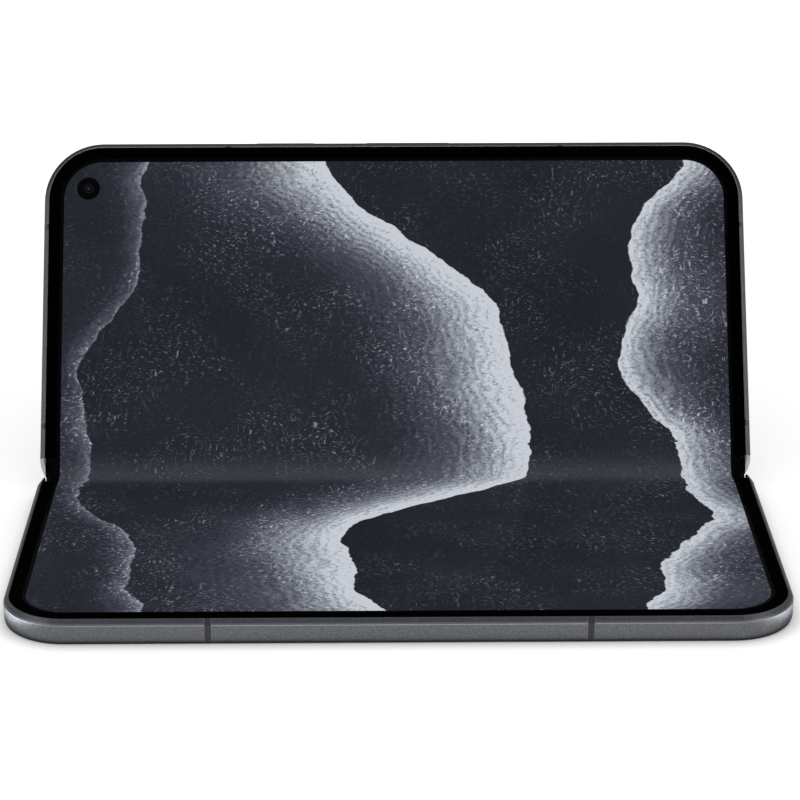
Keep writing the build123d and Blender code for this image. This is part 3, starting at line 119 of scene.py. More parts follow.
class Graph:
    """The shader nodes of one material or of the world, added one line at a time."""

    def __init__(self, owner: bpy.types.ID, shader: str = "Principled BSDF") -> None:
        """Starts from the nodes that the owner comes with.

        Args:
            owner: The material or the world.
            shader: The name of its one shader.
        """
        owner.use_nodes = True
        self.owner = owner
        self.tree = owner.node_tree
        self.shader = self.tree.nodes[shader]

    def fill(self, node: bpy.types.Node, inputs: Inputs) -> None:
        """Links a socket to each named input of a node, or writes a plain value on it."""
        for key, value in inputs.items():
            if isinstance(value, bpy.types.NodeSocket):
                self.tree.links.new(value, node.inputs[key])
            else:
                node.inputs[key].default_value = value

    def add(self, kind: str, inputs: Inputs | None = None, **settings: str | int) -> bpy.types.Node:
        """Adds a node.

        Args:
            kind: Its type, without the ShaderNode that each type starts with.
            inputs: What goes into its inputs.
            settings: The node's own settings, made before its inputs are filled.

        Returns:
            The node.
        """
        node = self.tree.nodes.new("ShaderNode" + kind)
        for name, setting in settings.items():
            setattr(node, name, setting)
        self.fill(node, inputs or {})
        return node

    def number(self, operation: str, *terms: Socket | float) -> Socket:
        """Result of one sum on numbers, given the operation's name and its terms."""
        return self.add("Math", dict(enumerate(terms)), operation=operation).outputs[0]

    def arrow(self, operation: str, *terms: Socket | tuple) -> bpy.types.Node:
        """Node of one sum on vectors, given the operation's name and its terms."""
        return self.add("VectorMath", dict(enumerate(terms)), operation=operation)

    def split(self, vector: Socket) -> tuple[Socket, Socket, Socket]:
        """The three parts of a vector."""
        x, y, z = self.add("SeparateXYZ", {0: vector}).outputs
        return x, y, z

    def join(self, x: Socket | float, y: Socket | float, z: Socket | float) -> Socket:
        """The vector of three parts."""
        return self.add("CombineXYZ", {0: x, 1: y, 2: z}).outputs[0]

    def reach(self, x: Socket, y: Socket, centre: tuple[float, float] = (0.0, 0.0)) -> Socket:
        """Distance between the place x, y on a face and a centre there."""
        across = self.number("SUBTRACT", x, centre[0])
        along = self.number("SUBTRACT", y, centre[1])
        return self.arrow("LENGTH", self.join(across, along, 0.0)).outputs["Value"]

    def spot(self, place: Place) -> Socket:
        """Coordinates of the shaded point.

        Args:
            place: The part whose own frame they are given in. A strip of the screen reads its own
                UV map, which holds hundreds of millimetres.

        Returns:
            The point in millimetres: across, along and out of the part's face.
        """
        if place is Place.STRIP:
            source = self.add("UVMap", uv_map=UV_MAP).outputs[0]
            inputs = {"Vector": source, "Scale": (UV_STEP, UV_STEP, 0.0)}
        else:
            source = self.add("TexCoord").outputs["Object"]
            shift, turn = place.settings()
            inputs = {
                "Vector": source,
                "Scale": (MM_PER_METRE,) * 3,
                "Rotation": (turn, 0.0, 0.0),
                "Location": shift,
            }
        return self.add("Mapping", inputs).outputs[0]

    def squeeze(self, at: Socket, sizes: tuple[float, float, float]) -> Socket:
        """The point divided by the size of a grain along each way, in mm."""
        return self.arrow("DIVIDE", at, sizes).outputs[0]

    def noise(self, at: Socket, detail: float = 2.0, rough: float = 0.5) -> Socket:
        """Smooth noise from 0 to 1 with grains about one unit across."""
        inputs = {"Vector": at, "Scale": 1.0, "Detail": detail, "Roughness": rough}
        return self.add("TexNoise", inputs).outputs["Fac"]

    def fade(self, value: Socket, low: float, high: float) -> Socket:
        """0 at low, 1 at high, with a smooth step between."""
        inputs = {"Value": value, "From Min": low, "From Max": high}
        return self.add("MapRange", inputs, interpolation_type="SMOOTHSTEP").outputs[0]

    def span(self, value: Socket, low: float, high: Socket | float) -> Socket:
        """The value's 0 to 1 spread over low to high."""
        return self.add("MapRange", {"Value": value, "To Min": low, "To Max": high}).outputs[0]

    def mix(self, factor: Socket | float, first: Socket | tuple, second: Socket | tuple) -> Socket:
        """The first colour at 0 and the second at 1."""
        inputs = {"Factor": factor, 6: first, 7: second}
        return self.add("Mix", inputs, data_type="RGBA").outputs[2]

    def ramp(self, factor: Socket, stops: tuple[tuple[float, str], ...]) -> Socket:
        """Colour read off a scale of stops, each a position and a tone."""
        node = self.add("ValToRGB", {0: factor})
        elements = node.color_ramp.elements
        elements[0].position, elements[0].color = stops[0][0], linear(stops[0][1])
        elements[1].position, elements[1].color = stops[-1][0], linear(stops[-1][1])
        for position, tone in stops[1:-1]:
            elements.new(position).color = linear(tone)
        return node.outputs[0]

    def relief(self, height: Socket, depth: float, edge: float) -> None:
        """Drives the shader's normal.

        Args:
            height: Pattern from 0 to 1 that stands up.
            depth: How far it stands up, in mm.
            edge: Radius in mm by which sharp edges look broken, or 0.
        """
        inputs = {"Strength": BUMP_STRENGTH, "Distance": depth * MM, "Height": height}
        if edge > 0:
            inputs["Normal"] = self.rounded(edge)
        self.fill(self.shader, {"Normal": self.add("Bump", inputs).outputs[0]})

    def rounded(self, edge: float) -> Socket:
        """Normal that turns smoothly over an edge within that radius, in mm."""
        return self.add("Bevel", {"Radius": edge * MM}, samples=BEVEL_SAMPLES).outputs[0]

    def painted_edge_highlight(self, edge: float) -> Socket:
        """Mask of the painted edge highlight: 0 on a face and 1 on its sharp edges, by how far the
        rounded normal turns away.
        """
        face = self.add("NewGeometry").outputs["Normal"]
        turn = self.arrow("DOT_PRODUCT", self.rounded(edge), face).outputs["Value"]
        return self.fade(self.number("SUBTRACT", 1.0, turn), *EDGE_HIGHLIGHT_TURN)


class Pattern(Enum):
    """The fine pattern of a finish."""

    GRAIN = "grain"
    BRUSHED = "brushed"
    CREASED = "creased"
    TRACKS = "tracks"
    WINDING = "winding"


@dataclass(frozen=True)
class PaintedWallLight:
    """Painted highlight line along a half's chamfer and painted shade at its wall's foot. Heights
    are in mm.

    A height is measured from the half's face, and is negative below it. Each pair says where a
    tone starts and where it is full.
    """

    # Heights where the painted shade at the wall's foot starts and where it is full.
    foot: tuple[float, float] = (-4.1, -4.75)
    foot_shade_level: float = 0.42
    highlight_from_top: tuple[float, float] = (-0.6, -0.96)
    highlight_from_foot: tuple[float, float] = (-1.28, -1.09)
    highlight_share: float = 0.6

    def paint_on(self, graph: Graph, colour: Socket, height: Socket, light: str) -> Socket:
        """Paints the highlight line and the shade at the foot over a colour.

        Args:
            graph: The material's nodes.
            colour: The wall's colour without them.
            height: Height of the shaded point.
            light: The tone of the painted highlight.

        Returns:
            The colour times a painted shade level that falls to foot_shade_level at the foot, with
            the highlight's tone on the line.
        """
        # Painted shade: darker towards the wall's foot.
        level = graph.span(graph.fade(height, *self.foot[::-1]), self.foot_shade_level, 1.0)
        shaded = graph.arrow("MULTIPLY", colour, graph.join(level, level, level)).outputs[0]
        # Painted highlight line just under the chamfer.
        upper = graph.fade(height, *self.highlight_from_top)
        line = graph.number("MULTIPLY", upper, graph.fade(height, *self.highlight_from_foot))
        return graph.mix(graph.number("MULTIPLY", line, self.highlight_share), shaded, linear(light))


@dataclass(frozen=True)
class Finish:
    """A finish: its tone, its gloss and the fine pattern on it. Sizes are in mm.

    The level is that of the plain reflection, and the rim tint is how light the reflection of a
    metal gets where it is seen at a grazing angle. The edge is the radius by which sharp edges look
    broken, and the edge highlight tone the colour of a painted highlight along them. The wall,
    where there is one, paints a highlight line and shade on a half's wall.
    """

    name: str
    tone: str
    roughness: float
    metallic: float = 0.0
    level: float = 0.5
    pattern: Pattern = Pattern.GRAIN
    size: float = 0.2
    contrast: float = 0.12
    depth: float = 0.006
    edge: float = 0.0
    edge_highlight_tone: str = "#000000"
    place: Place = Place.ROW
    rim_tint: float = 1.0
    # Painted highlight line and painted foot shade of a half's wall, or None.
    wall: PaintedWallLight | None = None
    brush: float = 22.0
    coil_centre: tuple[float, float] = (0.0, 39.0)

    def mark(self, graph: Graph) -> Socket:
        """The pattern's value from 0 to 1 at the shaded point."""
        at = graph.spot(self.place)
        if self.pattern is Pattern.BRUSHED:
            strokes = (self.size * self.brush, self.size, self.size)
            return graph.noise(graph.squeeze(at, strokes), 3.0)
        if self.pattern is Pattern.CREASED:
            broad = graph.noise(graph.squeeze(at, (self.size, self.size * 2, self.size)), 4.0, 0.6)
            return graph.number("PINGPONG", graph.number("MULTIPLY", broad, CREASE_BANDS), 1.0)
        if self.pattern is Pattern.TRACKS:
            cells = {"Vector": graph.squeeze(at, (self.size,) * 3), "Scale": 1.0}
            node = graph.add("TexVoronoi", cells, distance="CHEBYCHEV", feature="F2")
            away = graph.number("MULTIPLY", node.outputs["Distance"], TRACK_BANDS)
            return graph.number("PINGPONG", away, 1.0)
        if self.pattern is Pattern.WINDING:
            x, y, _ = graph.split(at)
            turns = graph.number("DIVIDE", graph.reach(x, y, self.coil_centre), self.size)
            return graph.number("PINGPONG", turns, 1.0)
        return graph.noise(graph.squeeze(at, (self.size,) * 3), 3.0, 0.6)

    def material(self) -> bpy.types.Material:
        """The finish as a material.

        Returns:
            A material whose tone swings by the contrast with the pattern, whose roughness follows
            it slightly, and whose surface stands up by the depth. Edges get a painted highlight,
            and a wall a painted highlight line and painted shade at its foot, where the finish has
            them.
        """
        graph = Graph(bpy.data.materials.new(self.name))
        mark = self.mark(graph)
        dark = linear(self.tone, 1 - self.contrast)
        light = linear(self.tone, 1 + self.contrast)
        colour = graph.mix(mark, dark, light)
        smooth, rough = self.roughness * (1 - GLOSS_SWING), self.roughness * (1 + GLOSS_SWING)
        # Painted highlight along sharp edges.
        if self.edge > 0:
            colour = graph.mix(graph.painted_edge_highlight(self.edge), colour, linear(self.edge_highlight_tone))
        # Painted highlight line and painted shade at the wall's foot.
        if self.wall:
            height = graph.split(graph.spot(self.place))[2]
            colour = self.wall.paint_on(graph, colour, height, self.edge_highlight_tone)
        inputs = {
            "Base Color": colour,
            "Roughness": graph.span(mark, smooth, min(1.0, rough)),
            "Metallic": self.metallic,
            "Specular IOR Level": self.level,
            "Specular Tint": (self.rim_tint,) * 3 + (1.0,),
        }
        graph.fill(graph.shader, inputs)
        graph.relief(mark, self.depth, self.edge)
        return graph.owner


@dataclass(frozen=True)
class LensFinish:
    """Dark glass with the rings of a lens seen through it, round one or more centres, in mm. The
    camera lenses' purple-blue centres are a painted reflection of their coating.
    """

    name: str
    centres: tuple[tuple[float, float], ...]
    stops: tuple[tuple[float, str], ...]
    reach: float
    roughness: float = 0.06
    level: float = 0.35
    coat: float = 0.08
    haze_grain: float = 1.5

    def material(self) -> bpy.types.Material:
        """The glass as a material: its tone is read from the distance to the nearest centre."""
        graph = Graph(bpy.data.materials.new(self.name))
        at = graph.spot(Place.UPPER)
        x, y, _ = graph.split(at)
        nearest = graph.reach(x, y, self.centres[0])
        for centre in self.centres[1:]:
            nearest = graph.number("MINIMUM", nearest, graph.reach(x, y, centre))
        share = graph.number("DIVIDE", nearest, self.reach)
        haze = graph.noise(graph.squeeze(at, (self.haze_grain,) * 3), 2.0)
        clear, hazy = self.roughness * (1 - HAZE_SWING), self.roughness * (1 + HAZE_SWING)
        inputs = {
            "Base Color": graph.ramp(share, self.stops),
            "Roughness": graph.span(haze, clear, hazy),
            "Specular IOR Level": self.level,
            "Coat Weight": self.coat,
        }
        graph.fill(graph.shader, inputs)
        return graph.owner


@dataclass(frozen=True)
class Crest:
    """One wandering crest line of the sand picture and the pale slope beside it, in mm."""

    offset: float
    swings: tuple[tuple[float, float, float], ...]
    slope: float
    strength: float
    side: float
    rim: float = 0.5
    drift_grain: tuple[float, float, float] = (11.0, 7.0, 1.0)
    drift_turn: float = 26.0
    turn_per_mm: float = 2.6
    swell: float = 0.1
    sand_grain: tuple[float, float, float] = (0.8, 0.6, 1.0)
    sand_edge: tuple[float, float] = (0.34, 0.52)
    sand_light: tuple[float, float] = (0.7, 1.03)

    def tone(self, graph: Graph, at: Socket, wobble: Socket) -> Socket:
        """How light the slope is at the shaded point.

        Args:
            graph: The material's nodes.
            at: The point on the screen in mm.
            wobble: Slow noise about 0 that bends the crest, in mm.

        Returns:
            0 off the slope. On it the strength fades as exp(-distance / slope) from the crest,
            which itself runs at offset + the sum of amplitude * sin(2 pi v / length + phase).
        """
        u, v, _ = graph.split(at)
        line = graph.number("ADD", wobble, self.offset)
        for amplitude, length, phase in self.swings:
            angle = graph.number("MULTIPLY_ADD", v, 2 * math.pi / length, phase)
            line = graph.number("MULTIPLY_ADD", graph.number("SINE", angle), amplitude, line)
        away = graph.number("MULTIPLY", graph.number("SUBTRACT", u, line), self.side)
        decay = graph.number("EXPONENT", graph.number("DIVIDE", away, -self.slope))
        ripple = self.ripples(graph, at, away)
        lit = graph.number("MULTIPLY", graph.fade(away, 0.0, self.rim), decay)
        return graph.number("MULTIPLY", graph.number("MULTIPLY", lit, ripple), self.strength)

    def ripples(self, graph: Graph, at: Socket, away: Socket) -> Socket:
        """Light of the wind ripples along the slope: a bent sine of the distance from the crest."""
        drift = graph.noise(graph.squeeze(at, self.drift_grain), 3.0, 0.55)
        straight = graph.number("MULTIPLY", away, self.turn_per_mm)
        wave = graph.number("SINE", graph.number("MULTIPLY_ADD", drift, self.drift_turn, straight))
        fine = graph.noise(graph.squeeze(at, self.sand_grain), 3.0, 0.72)
        grain = graph.span(graph.fade(fine, *self.sand_edge), *self.sand_light)
        swelled = graph.number("MULTIPLY_ADD", wave, self.swell, 1 - self.swell)
        return graph.number("MULTIPLY", swelled, grain)


@dataclass(frozen=True)
class ScreenFinish:
    """The lit screen: its picture, its black border, the hole's black ring and a painted reflection
    along the fold, in mm.
    """

    half_width: float = 73.196
    half_height: float = 70.696
    corner: float = 8.6
    hole: tuple[float, float] = (-67.84, 64.66)
    hole_radius: float = 2.5
    crests: tuple[Crest, ...] = (
        Crest(9.0, ((22.0, 126.0, 0.8), (4.0, 47.0, 2.0)), 14.0, 1.15, -1.0),
        Crest(57.0, ((8.0, 104.0, 2.6), (2.5, 33.0, 0.4)), 10.0, 0.95, 1.0),
        Crest(-60.0, ((9.0, 138.0, 4.4), (2.5, 41.0, 1.0)), 4.0, 0.45, -1.0),
    )
    tones: tuple[tuple[float, str], ...] = (
        (0.0, "#15171b"),
        (0.16, "#1c1f25"),
        (0.32, "#292c34"),
        (0.5, "#4a4d58"),
        (0.72, "#8a8f98"),
        (0.9, "#b6bcc5"),
        (1.0, "#c8ccd5"),
    )
    slow_grain: tuple[float, float, float] = (15.0, 12.0, 1.0)
    wobble: float = 9.0
    broad_grain: tuple[float, float, float] = (34.0, 26.0, 1.0)
    plain: tuple[float, float] = (0.1, 0.34)
    warp: tuple[float, float, float] = (9.0, 16.0, 0.0)
    streak_grain: tuple[float, float, float] = (1.0, 0.36, 1.0)
    streak_edge: tuple[float, float] = (0.52, 0.7)
    streak_light: float = 0.4
    patch_grain: tuple[float, float, float] = (20.0, 15.0, 1.0)
    patch_edge: tuple[float, float] = (0.36, 0.6)
    patch_least: float = 0.3
    soft: float = 0.04
    # Width, share and tone of the painted reflection along the fold.
    reflection_width: float = 3.4
    reflection_share: float = 0.07
    reflection_tone: str = "#9aa0aa"
    black: str = "#020203"
    base: str = "#050506"
    level: float = 0.003
    haze_grain: tuple[float, float, float] = (9.0, 9.0, 1.0)
    roughness: tuple[float, float] = (0.1, 0.16)

    def picture(self, graph: Graph, at: Socket) -> Socket:
        """Rippled sand hills at night.

        Args:
            graph: The material's nodes.
            at: The point on the screen in mm.

        Returns:
            The colour: a dark plain with a fine streaky speckle, and the pale slope of each crest.
        """
        slow = graph.noise(graph.squeeze(at, self.slow_grain), 4.0, 0.55)
        wobble = graph.number("MULTIPLY", graph.number("SUBTRACT", slow, 0.5), self.wobble)
        broad = graph.noise(graph.squeeze(at, self.broad_grain), 3.0, 0.5)
        tone = graph.span(broad, *self.plain)
        warp = graph.arrow("MULTIPLY_ADD", graph.join(broad, slow, 0.0), self.warp, at).outputs[0]
        streak = graph.noise(graph.squeeze(warp, self.streak_grain), 3.0, 0.66)
        wide = graph.noise(graph.squeeze(at, self.patch_grain), 2.0)
        patch = graph.span(graph.fade(wide, *self.patch_edge), self.patch_least, 1.0)
        speck = graph.number("MULTIPLY", graph.fade(streak, *self.streak_edge), patch)
        tone = graph.number("MULTIPLY_ADD", speck, self.streak_light, tone)
        for crest in self.crests:
            tone = graph.number("ADD", tone, crest.tone(graph, at, wobble))
        return graph.ramp(tone, self.tones)

    def border(self, graph: Graph, at: Socket) -> Socket:
        """1 on the lit picture and 0 on the black border and the black ring of the hole.

        Returns:
            A step of the distance to a rectangle with round corners, times a step of the distance
            to the hole's centre.
        """
        u, v, _ = graph.split(at)
        beyond = []
        for way, half in ((u, self.half_width), (v, self.half_height)):
            over = graph.number("SUBTRACT", graph.number("ABSOLUTE", way), half - self.corner)
            beyond.append(graph.number("MAXIMUM", over, 0.0))
        rim = graph.fade(graph.reach(*beyond), self.corner + self.soft, self.corner - self.soft)
        away = graph.reach(u, v, self.hole)
        outside = graph.fade(away, self.hole_radius, self.hole_radius + 2 * self.soft)
        return graph.number("MULTIPLY", rim, outside)

    def painted_crease_reflection(self, graph: Graph, at: Socket) -> Socket:
        """Mask of the painted reflection, a faint lighter band along the fold, as exp(-(v /
        reflection_width) squared).
        """
        _, v, _ = graph.split(at)
        share = graph.number("DIVIDE", v, self.reflection_width)
        square = graph.number("MULTIPLY", share, share)
        return graph.number("EXPONENT", graph.number("MULTIPLY", square, -1.0))

    def material(self, place: Place) -> bpy.types.Material:
        """The screen as a material for the pieces that lie in that place."""
        graph = Graph(bpy.data.materials.new("screen_" + place.name.lower()))
        at = graph.spot(place)
        picture = self.picture(graph, at)
        # Painted reflection: a faint lighter band along the fold.
        painted_reflection = graph.number("MULTIPLY", self.painted_crease_reflection(graph, at), self.reflection_share)
        lit = graph.mix(painted_reflection, picture, linear(self.reflection_tone))
        haze = graph.noise(graph.squeeze(at, self.haze_grain), 2.0)
        inputs = {
            "Emission Color": graph.mix(self.border(graph, at), linear(self.black), lit),
            "Emission Strength": 1.0,
            "Base Color": linear(self.base),
            "Specular IOR Level": self.level,
            "Roughness": graph.span(haze, *self.roughness),
        }
        graph.fill(graph.shader, inputs)
        return graph.owner


FRAME_METAL = Finish(
    "anodised_frame", "#64666a", 0.36, 0.95, 0.5, Pattern.GRAIN, 0.42, 0.6, 0.05, 0.16, "#a2a4a9",
    rim_tint=0.3,
)
# The lower frame's metal with a painted highlight line and painted shade at its wall's foot.
LOWER_FRAME_PAINTED_LIGHT = replace(FRAME_METAL, name="anodised_lower_frame_painted_light", place=Place.LOWER, wall=PaintedWallLight())
KEY_METAL = Finish(
    "anodised_keys", "#989a9e", 0.34, 0.95, 0.5, Pattern.GRAIN, 0.34, 0.3, 0.02, 0.1, "#9a9ca0",
    rim_tint=0.3,
)
CAP_METAL = Finish(
    "polished_caps", "#a3a7aa", 0.26, 1.0, 0.5, Pattern.BRUSHED, 0.08, 0.1, 0.002, 0.1, "#b4b7ba",
    rim_tint=0.5,
)
BAND_PLASTIC = Finish("band_plastic", "#2c2d2f", 0.5, 0.0, 0.4, Pattern.GRAIN, 0.12, 0.2, 0.006)
BEZEL_PLASTIC = Finish("bezel_plastic", "#010101", 0.6, 0.0, 0.003, Pattern.GRAIN, 0.15, 0.3, 0.004)
DARK_PLASTIC = Finish("dark_plastic", "#17181a", 0.45, 0.0, 0.4, Pattern.GRAIN, 0.25, 0.25, 0.008)
BACK_GLASS = Finish(
    "tinted_back_glass", "#26282b", 0.3, 0.0, 0.5, Pattern.GRAIN, 0.09, 0.14, 0.003, 0.12, "#3b3e42"
)
COVER_GLASS = Finish(
    "cover_glass", "#060708", 0.08, 0.0, 0.5, Pattern.GRAIN, 3.0, 0.2, 0.001, 0.12, "#2b2d30"
)
HINGE_STEEL = Finish("machined_steel", "#8d8f92", 0.3, 1.0, 0.5, Pattern.BRUSHED, 0.07, 0.12, 0.004)
SPINE_METAL = Finish(
    "anodised_spine", "#46484b", 0.36, 0.9, 0.5, Pattern.GRAIN, 0.16, 0.14, 0.006, 0.12, "#8b8d91"
)
PLUG_METAL = Finish("black_plugs", "#0b0b0c", 0.5, 0.2, 0.2, Pattern.GRAIN, 0.2, 0.2, 0.004)
SHIELD_METAL = Finish(
    "stamped_shield", "#b9babc", 0.34, 1.0, 0.5, Pattern.BRUSHED, 0.15, 0.08, 0.006
)
BOARD = Finish("solder_mask", "#0f3a24", 0.35, 0.0, 0.5, Pattern.TRACKS, 1.3, 0.4, 0.03)
BATTERY_FOIL = Finish("battery_foil", "#2b2c2f", 0.4, 0.3, 0.5, Pattern.CREASED, 6.0, 0.25, 0.05)
COPPER = Finish(
    "copper_winding", "#b06a3c", 0.32, 1.0, 0.5, Pattern.WINDING, 0.35, 0.35, 0.05,
    place=Place.UPPER,
)
NICKEL = Finish("nickel_plating", "#a8a69e", 0.25, 1.0, 0.5, Pattern.GRAIN, 0.4, 0.06, 0.004)

# The purple-blue centre is a painted reflection of the lens coating; the rings beyond are the
# lens's own.
CAMERA_RINGS = (
    (0.0, "#1d1c3a"),
    (0.1, "#14142a"),
    (0.2, "#0b0c12"),
    (0.34, "#1d2026"),
    (0.4, "#050506"),
    (0.56, "#3a3d43"),
    (0.6, "#08080a"),
    (0.9, "#030304"),
    (1.0, "#0b0b0c"),
)
WINDOW_CENTRES = ((-55.75, 59.75), (-38.25, 59.75), (-55.75, 42.25))
REAR_WINDOWS = LensFinish("camera_glass", WINDOW_CENTRES, CAMERA_RINGS, 6.2, level=0.12)
FLASH_RINGS = ((0.0, "#f1e9c9"), (0.55, "#d9d2b4"), (0.8, "#8e8b80"), (1.0, "#3a3a39"))
FLASH_GLASS = LensFinish("flash_glass", ((-38.25, 42.25),), FLASH_RINGS, 2.2)
# The purple-blue centre is a painted reflection of the lens coating; the rings beyond are the
# lens's own.
PUNCH_RINGS = (
    (0.0, "#3d3578"),
    (0.09, "#2a255c"),
    (0.16, "#0b0b12"),
    (0.34, "#0c0c0e"),
    (0.42, "#17181b"),
    (0.5, "#050506"),
    (1.0, "#020202"),
)
PUNCH_LENS = LensFinish(
    "punch_hole_lens", (ScreenFinish.hole,), PUNCH_RINGS, ScreenFinish.hole_radius, level=0.02
)
COVER_LENS = Finish("cover_lens", "#0b0c12", 0.15, 0.0, 0.5, Pattern.GRAIN, 0.5, 0.2, 0.002)
SCREEN = ScreenFinish()

NODES_BY_FINISH: dict[Finish | LensFinish, tuple[str, ...]] = {
    LOWER_FRAME_PAINTED_LIGHT: ("lower_frame",),
    FRAME_METAL: ("upper_frame", "camera_plateau", "sim_tray"),
    KEY_METAL: ("power_button", "volume_rocker"),
    CAP_METAL: ("lower_corner_caps", "upper_corner_caps"),
    BAND_PLASTIC: ("lower_antenna_bands", "upper_antenna_bands"),
    BEZEL_PLASTIC: ("lower_bezel", "upper_bezel"),
    COVER_GLASS: ("cover_glass",),
    BACK_GLASS: ("rear_cover",),
    REAR_WINDOWS: ("camera_windows",),
    FLASH_GLASS: ("flash_lens",),
    PUNCH_LENS: ("inner_camera",),
    COVER_LENS: ("cover_camera",),
    DARK_PLASTIC: (
        "cover_display_panel",
        "camera_main",
        "camera_ultrawide",
        "camera_tele",
        "earpiece_speaker",
        "loudspeaker",
        "microphones",
        "usb_tongue",
        "button_switches",
    ),
    SPINE_METAL: ("spine_cover",),
    PLUG_METAL: ("spine_end_plugs",),
    HINGE_STEEL: (
        "hinge_brackets",
        "lower_hinge_arms",
        "upper_hinge_arms",
        "lower_arm_screws",
        "upper_arm_screws",
        "idler_outer_lower",
        "idler_inner_lower",
        "idler_inner_upper",
        "idler_outer_upper",
        "lower_wing_plate",
        "upper_wing_plate",
    ),
    SHIELD_METAL: ("vibration_motor", "sim_reader", "lower_shield", "board_shields", "usb_shell"),
    BOARD: ("lower_board", "main_board"),
    BATTERY_FOIL: ("lower_battery", "upper_battery"),
    COPPER: ("wireless_coil",),
    NICKEL: ("lower_magnets", "upper_magnets"),
}


class Wardrobe:
    """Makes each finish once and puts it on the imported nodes."""

    def __init__(self) -> None:
        """Starts with nothing made."""
        self.made: dict[str, bpy.types.Material] = {}

    def material(self, finish: Finish | LensFinish) -> bpy.types.Material:
        """The finish's material, made the first time that it is asked for."""
        if finish.name not in self.made:
            self.made[finish.name] = finish.material()
        return self.made[finish.name]

    def screen(self, place: Place) -> bpy.types.Material:
        """The lit screen's material for that place, made once."""
        key = "screen " + place.name
        if key not in self.made:
            self.made[key] = SCREEN.material(place)
        return self.made[key]

    def dress(self, node: bpy.types.Object, material: bpy.types.Material) -> None:
        """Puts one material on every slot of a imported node."""
        if not node.material_slots:
            node.data.materials.append(material)
        for holder in node.material_slots:
            holder.material = material

    def dress_all(self) -> None:
        """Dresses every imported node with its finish."""
        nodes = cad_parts
        for finish, names in NODES_BY_FINISH.items():
            for name in names:
                self.dress(nodes[name], self.material(finish))
            LOG.info("%s: %d packed nodes", finish.name, len(names))
        self.dress(nodes["inner_display_lower"], self.screen(Place.LOWER))
        self.dress(nodes["inner_display_upper"], self.screen(Place.UPPER))


def new_piece(name: str, points: np.ndarray, faces: np.ndarray) -> bpy.types.Object:
    """Puts a mesh into the scene.

    Args:
        name: The piece's name.
        points: Its corners in metres, one row each.
        faces: Its four-sided faces, one row of corner numbers each.

    Returns:
        The piece, at the origin.
    """
    mesh = bpy.data.meshes.new(name)
    mesh.vertices.add(len(points))
    mesh.vertices.foreach_set("co", points.astype(np.float32).ravel())
    mesh.loops.add(faces.size)
    mesh.loops.foreach_set("vertex_index", faces.astype(np.int32).ravel())
    mesh.polygons.add(len(faces))
    mesh.polygons.foreach_set("loop_start", np.arange(0, faces.size, 4, dtype=np.int32))
    mesh.update(calc_edges=True)
    mesh.validate()
    piece = bpy.data.objects.new(name, mesh)
    bpy.context.scene.collection.objects.link(piece)
    return piece


@dataclass(frozen=True)
class FoldLine:
    """The screen's bend over the hinge, as the spine sees it at rest. Sizes are in mm."""

    axis_y: float = 1.2
    axis_z: float = -1.05
    zone: float = 7.0
    top_radius: float = 5.0
    tilt_share: float = 20 / 90
    middle_z: float = -0.375
    fold: float = math.radians(29.58)
    origin_y: float = 36.8753
    origin_z: float = 5.5555

    def points(self, run: np.ndarray, offset: float) -> np.ndarray:
        """Points of the bend's line.

        Args:
            run: Lengths along the screen from the flat half, 0 to the zone's length.
            offset: Height over the screen's middle layer.

        Returns:
            One row of y and z for each length: a top arc where the screen leaves the half, a
            straight run, and half of the bottom arc that ends at the fold's centre line.
        """
        tilt = self.fold * self.tilt_share
        total = self.fold + tilt
        dy, dz = self.axis_y - self.zone, self.middle_z - self.axis_z
        start_y = -self.axis_y + dy * math.cos(self.fold) + dz * math.sin(self.fold)
        start_z = self.axis_z - dy * math.sin(self.fold) + dz * math.cos(self.fold)
        free = self.zone - self.top_radius * tilt
        lead = self.top_radius * (math.sin(total) - math.sin(self.fold))
        reach = -start_y - lead - free * math.cos(total)
        low_radius = reach / (math.sin(total) - total * math.cos(total))
        straight = free - low_radius * total
        centre_y = start_y - self.top_radius * math.sin(self.fold)
        centre_z = start_z - self.top_radius * math.cos(self.fold)
        low_z = centre_z + self.top_radius * math.cos(total) - straight * math.sin(total)
        low_z += low_radius * math.cos(total)
        top_run = self.top_radius * tilt
        angle = self.fold + np.minimum(run, top_run) / self.top_radius
        along = np.clip(run - top_run, 0, straight)
        radius = self.top_radius + offset
        upper_y = centre_y + radius * np.sin(angle) + along * math.cos(total)
        upper_z = centre_z + radius * np.cos(angle) - along * math.sin(total)
        turn = total - (run - top_run - straight) / low_radius
        lower_y = -(low_radius - offset) * np.sin(turn)
        lower_z = low_z - (low_radius - offset) * np.cos(turn)
        low = run > top_run + straight
        return np.stack([np.where(low, lower_y, upper_y), np.where(low, lower_z, upper_z)], axis=-1)

    def to_row(self, points: np.ndarray) -> np.ndarray:
        """Turns points of the spine's frame by the fold angle about X and moves them to the row."""
        y, z = points[..., 0], points[..., 1]
        row_y = self.origin_y + math.cos(self.fold) * y - math.sin(self.fold) * z
        row_z = self.origin_z + math.sin(self.fold) * y + math.cos(self.fold) * z
        return np.stack([row_y, row_z], axis=-1)


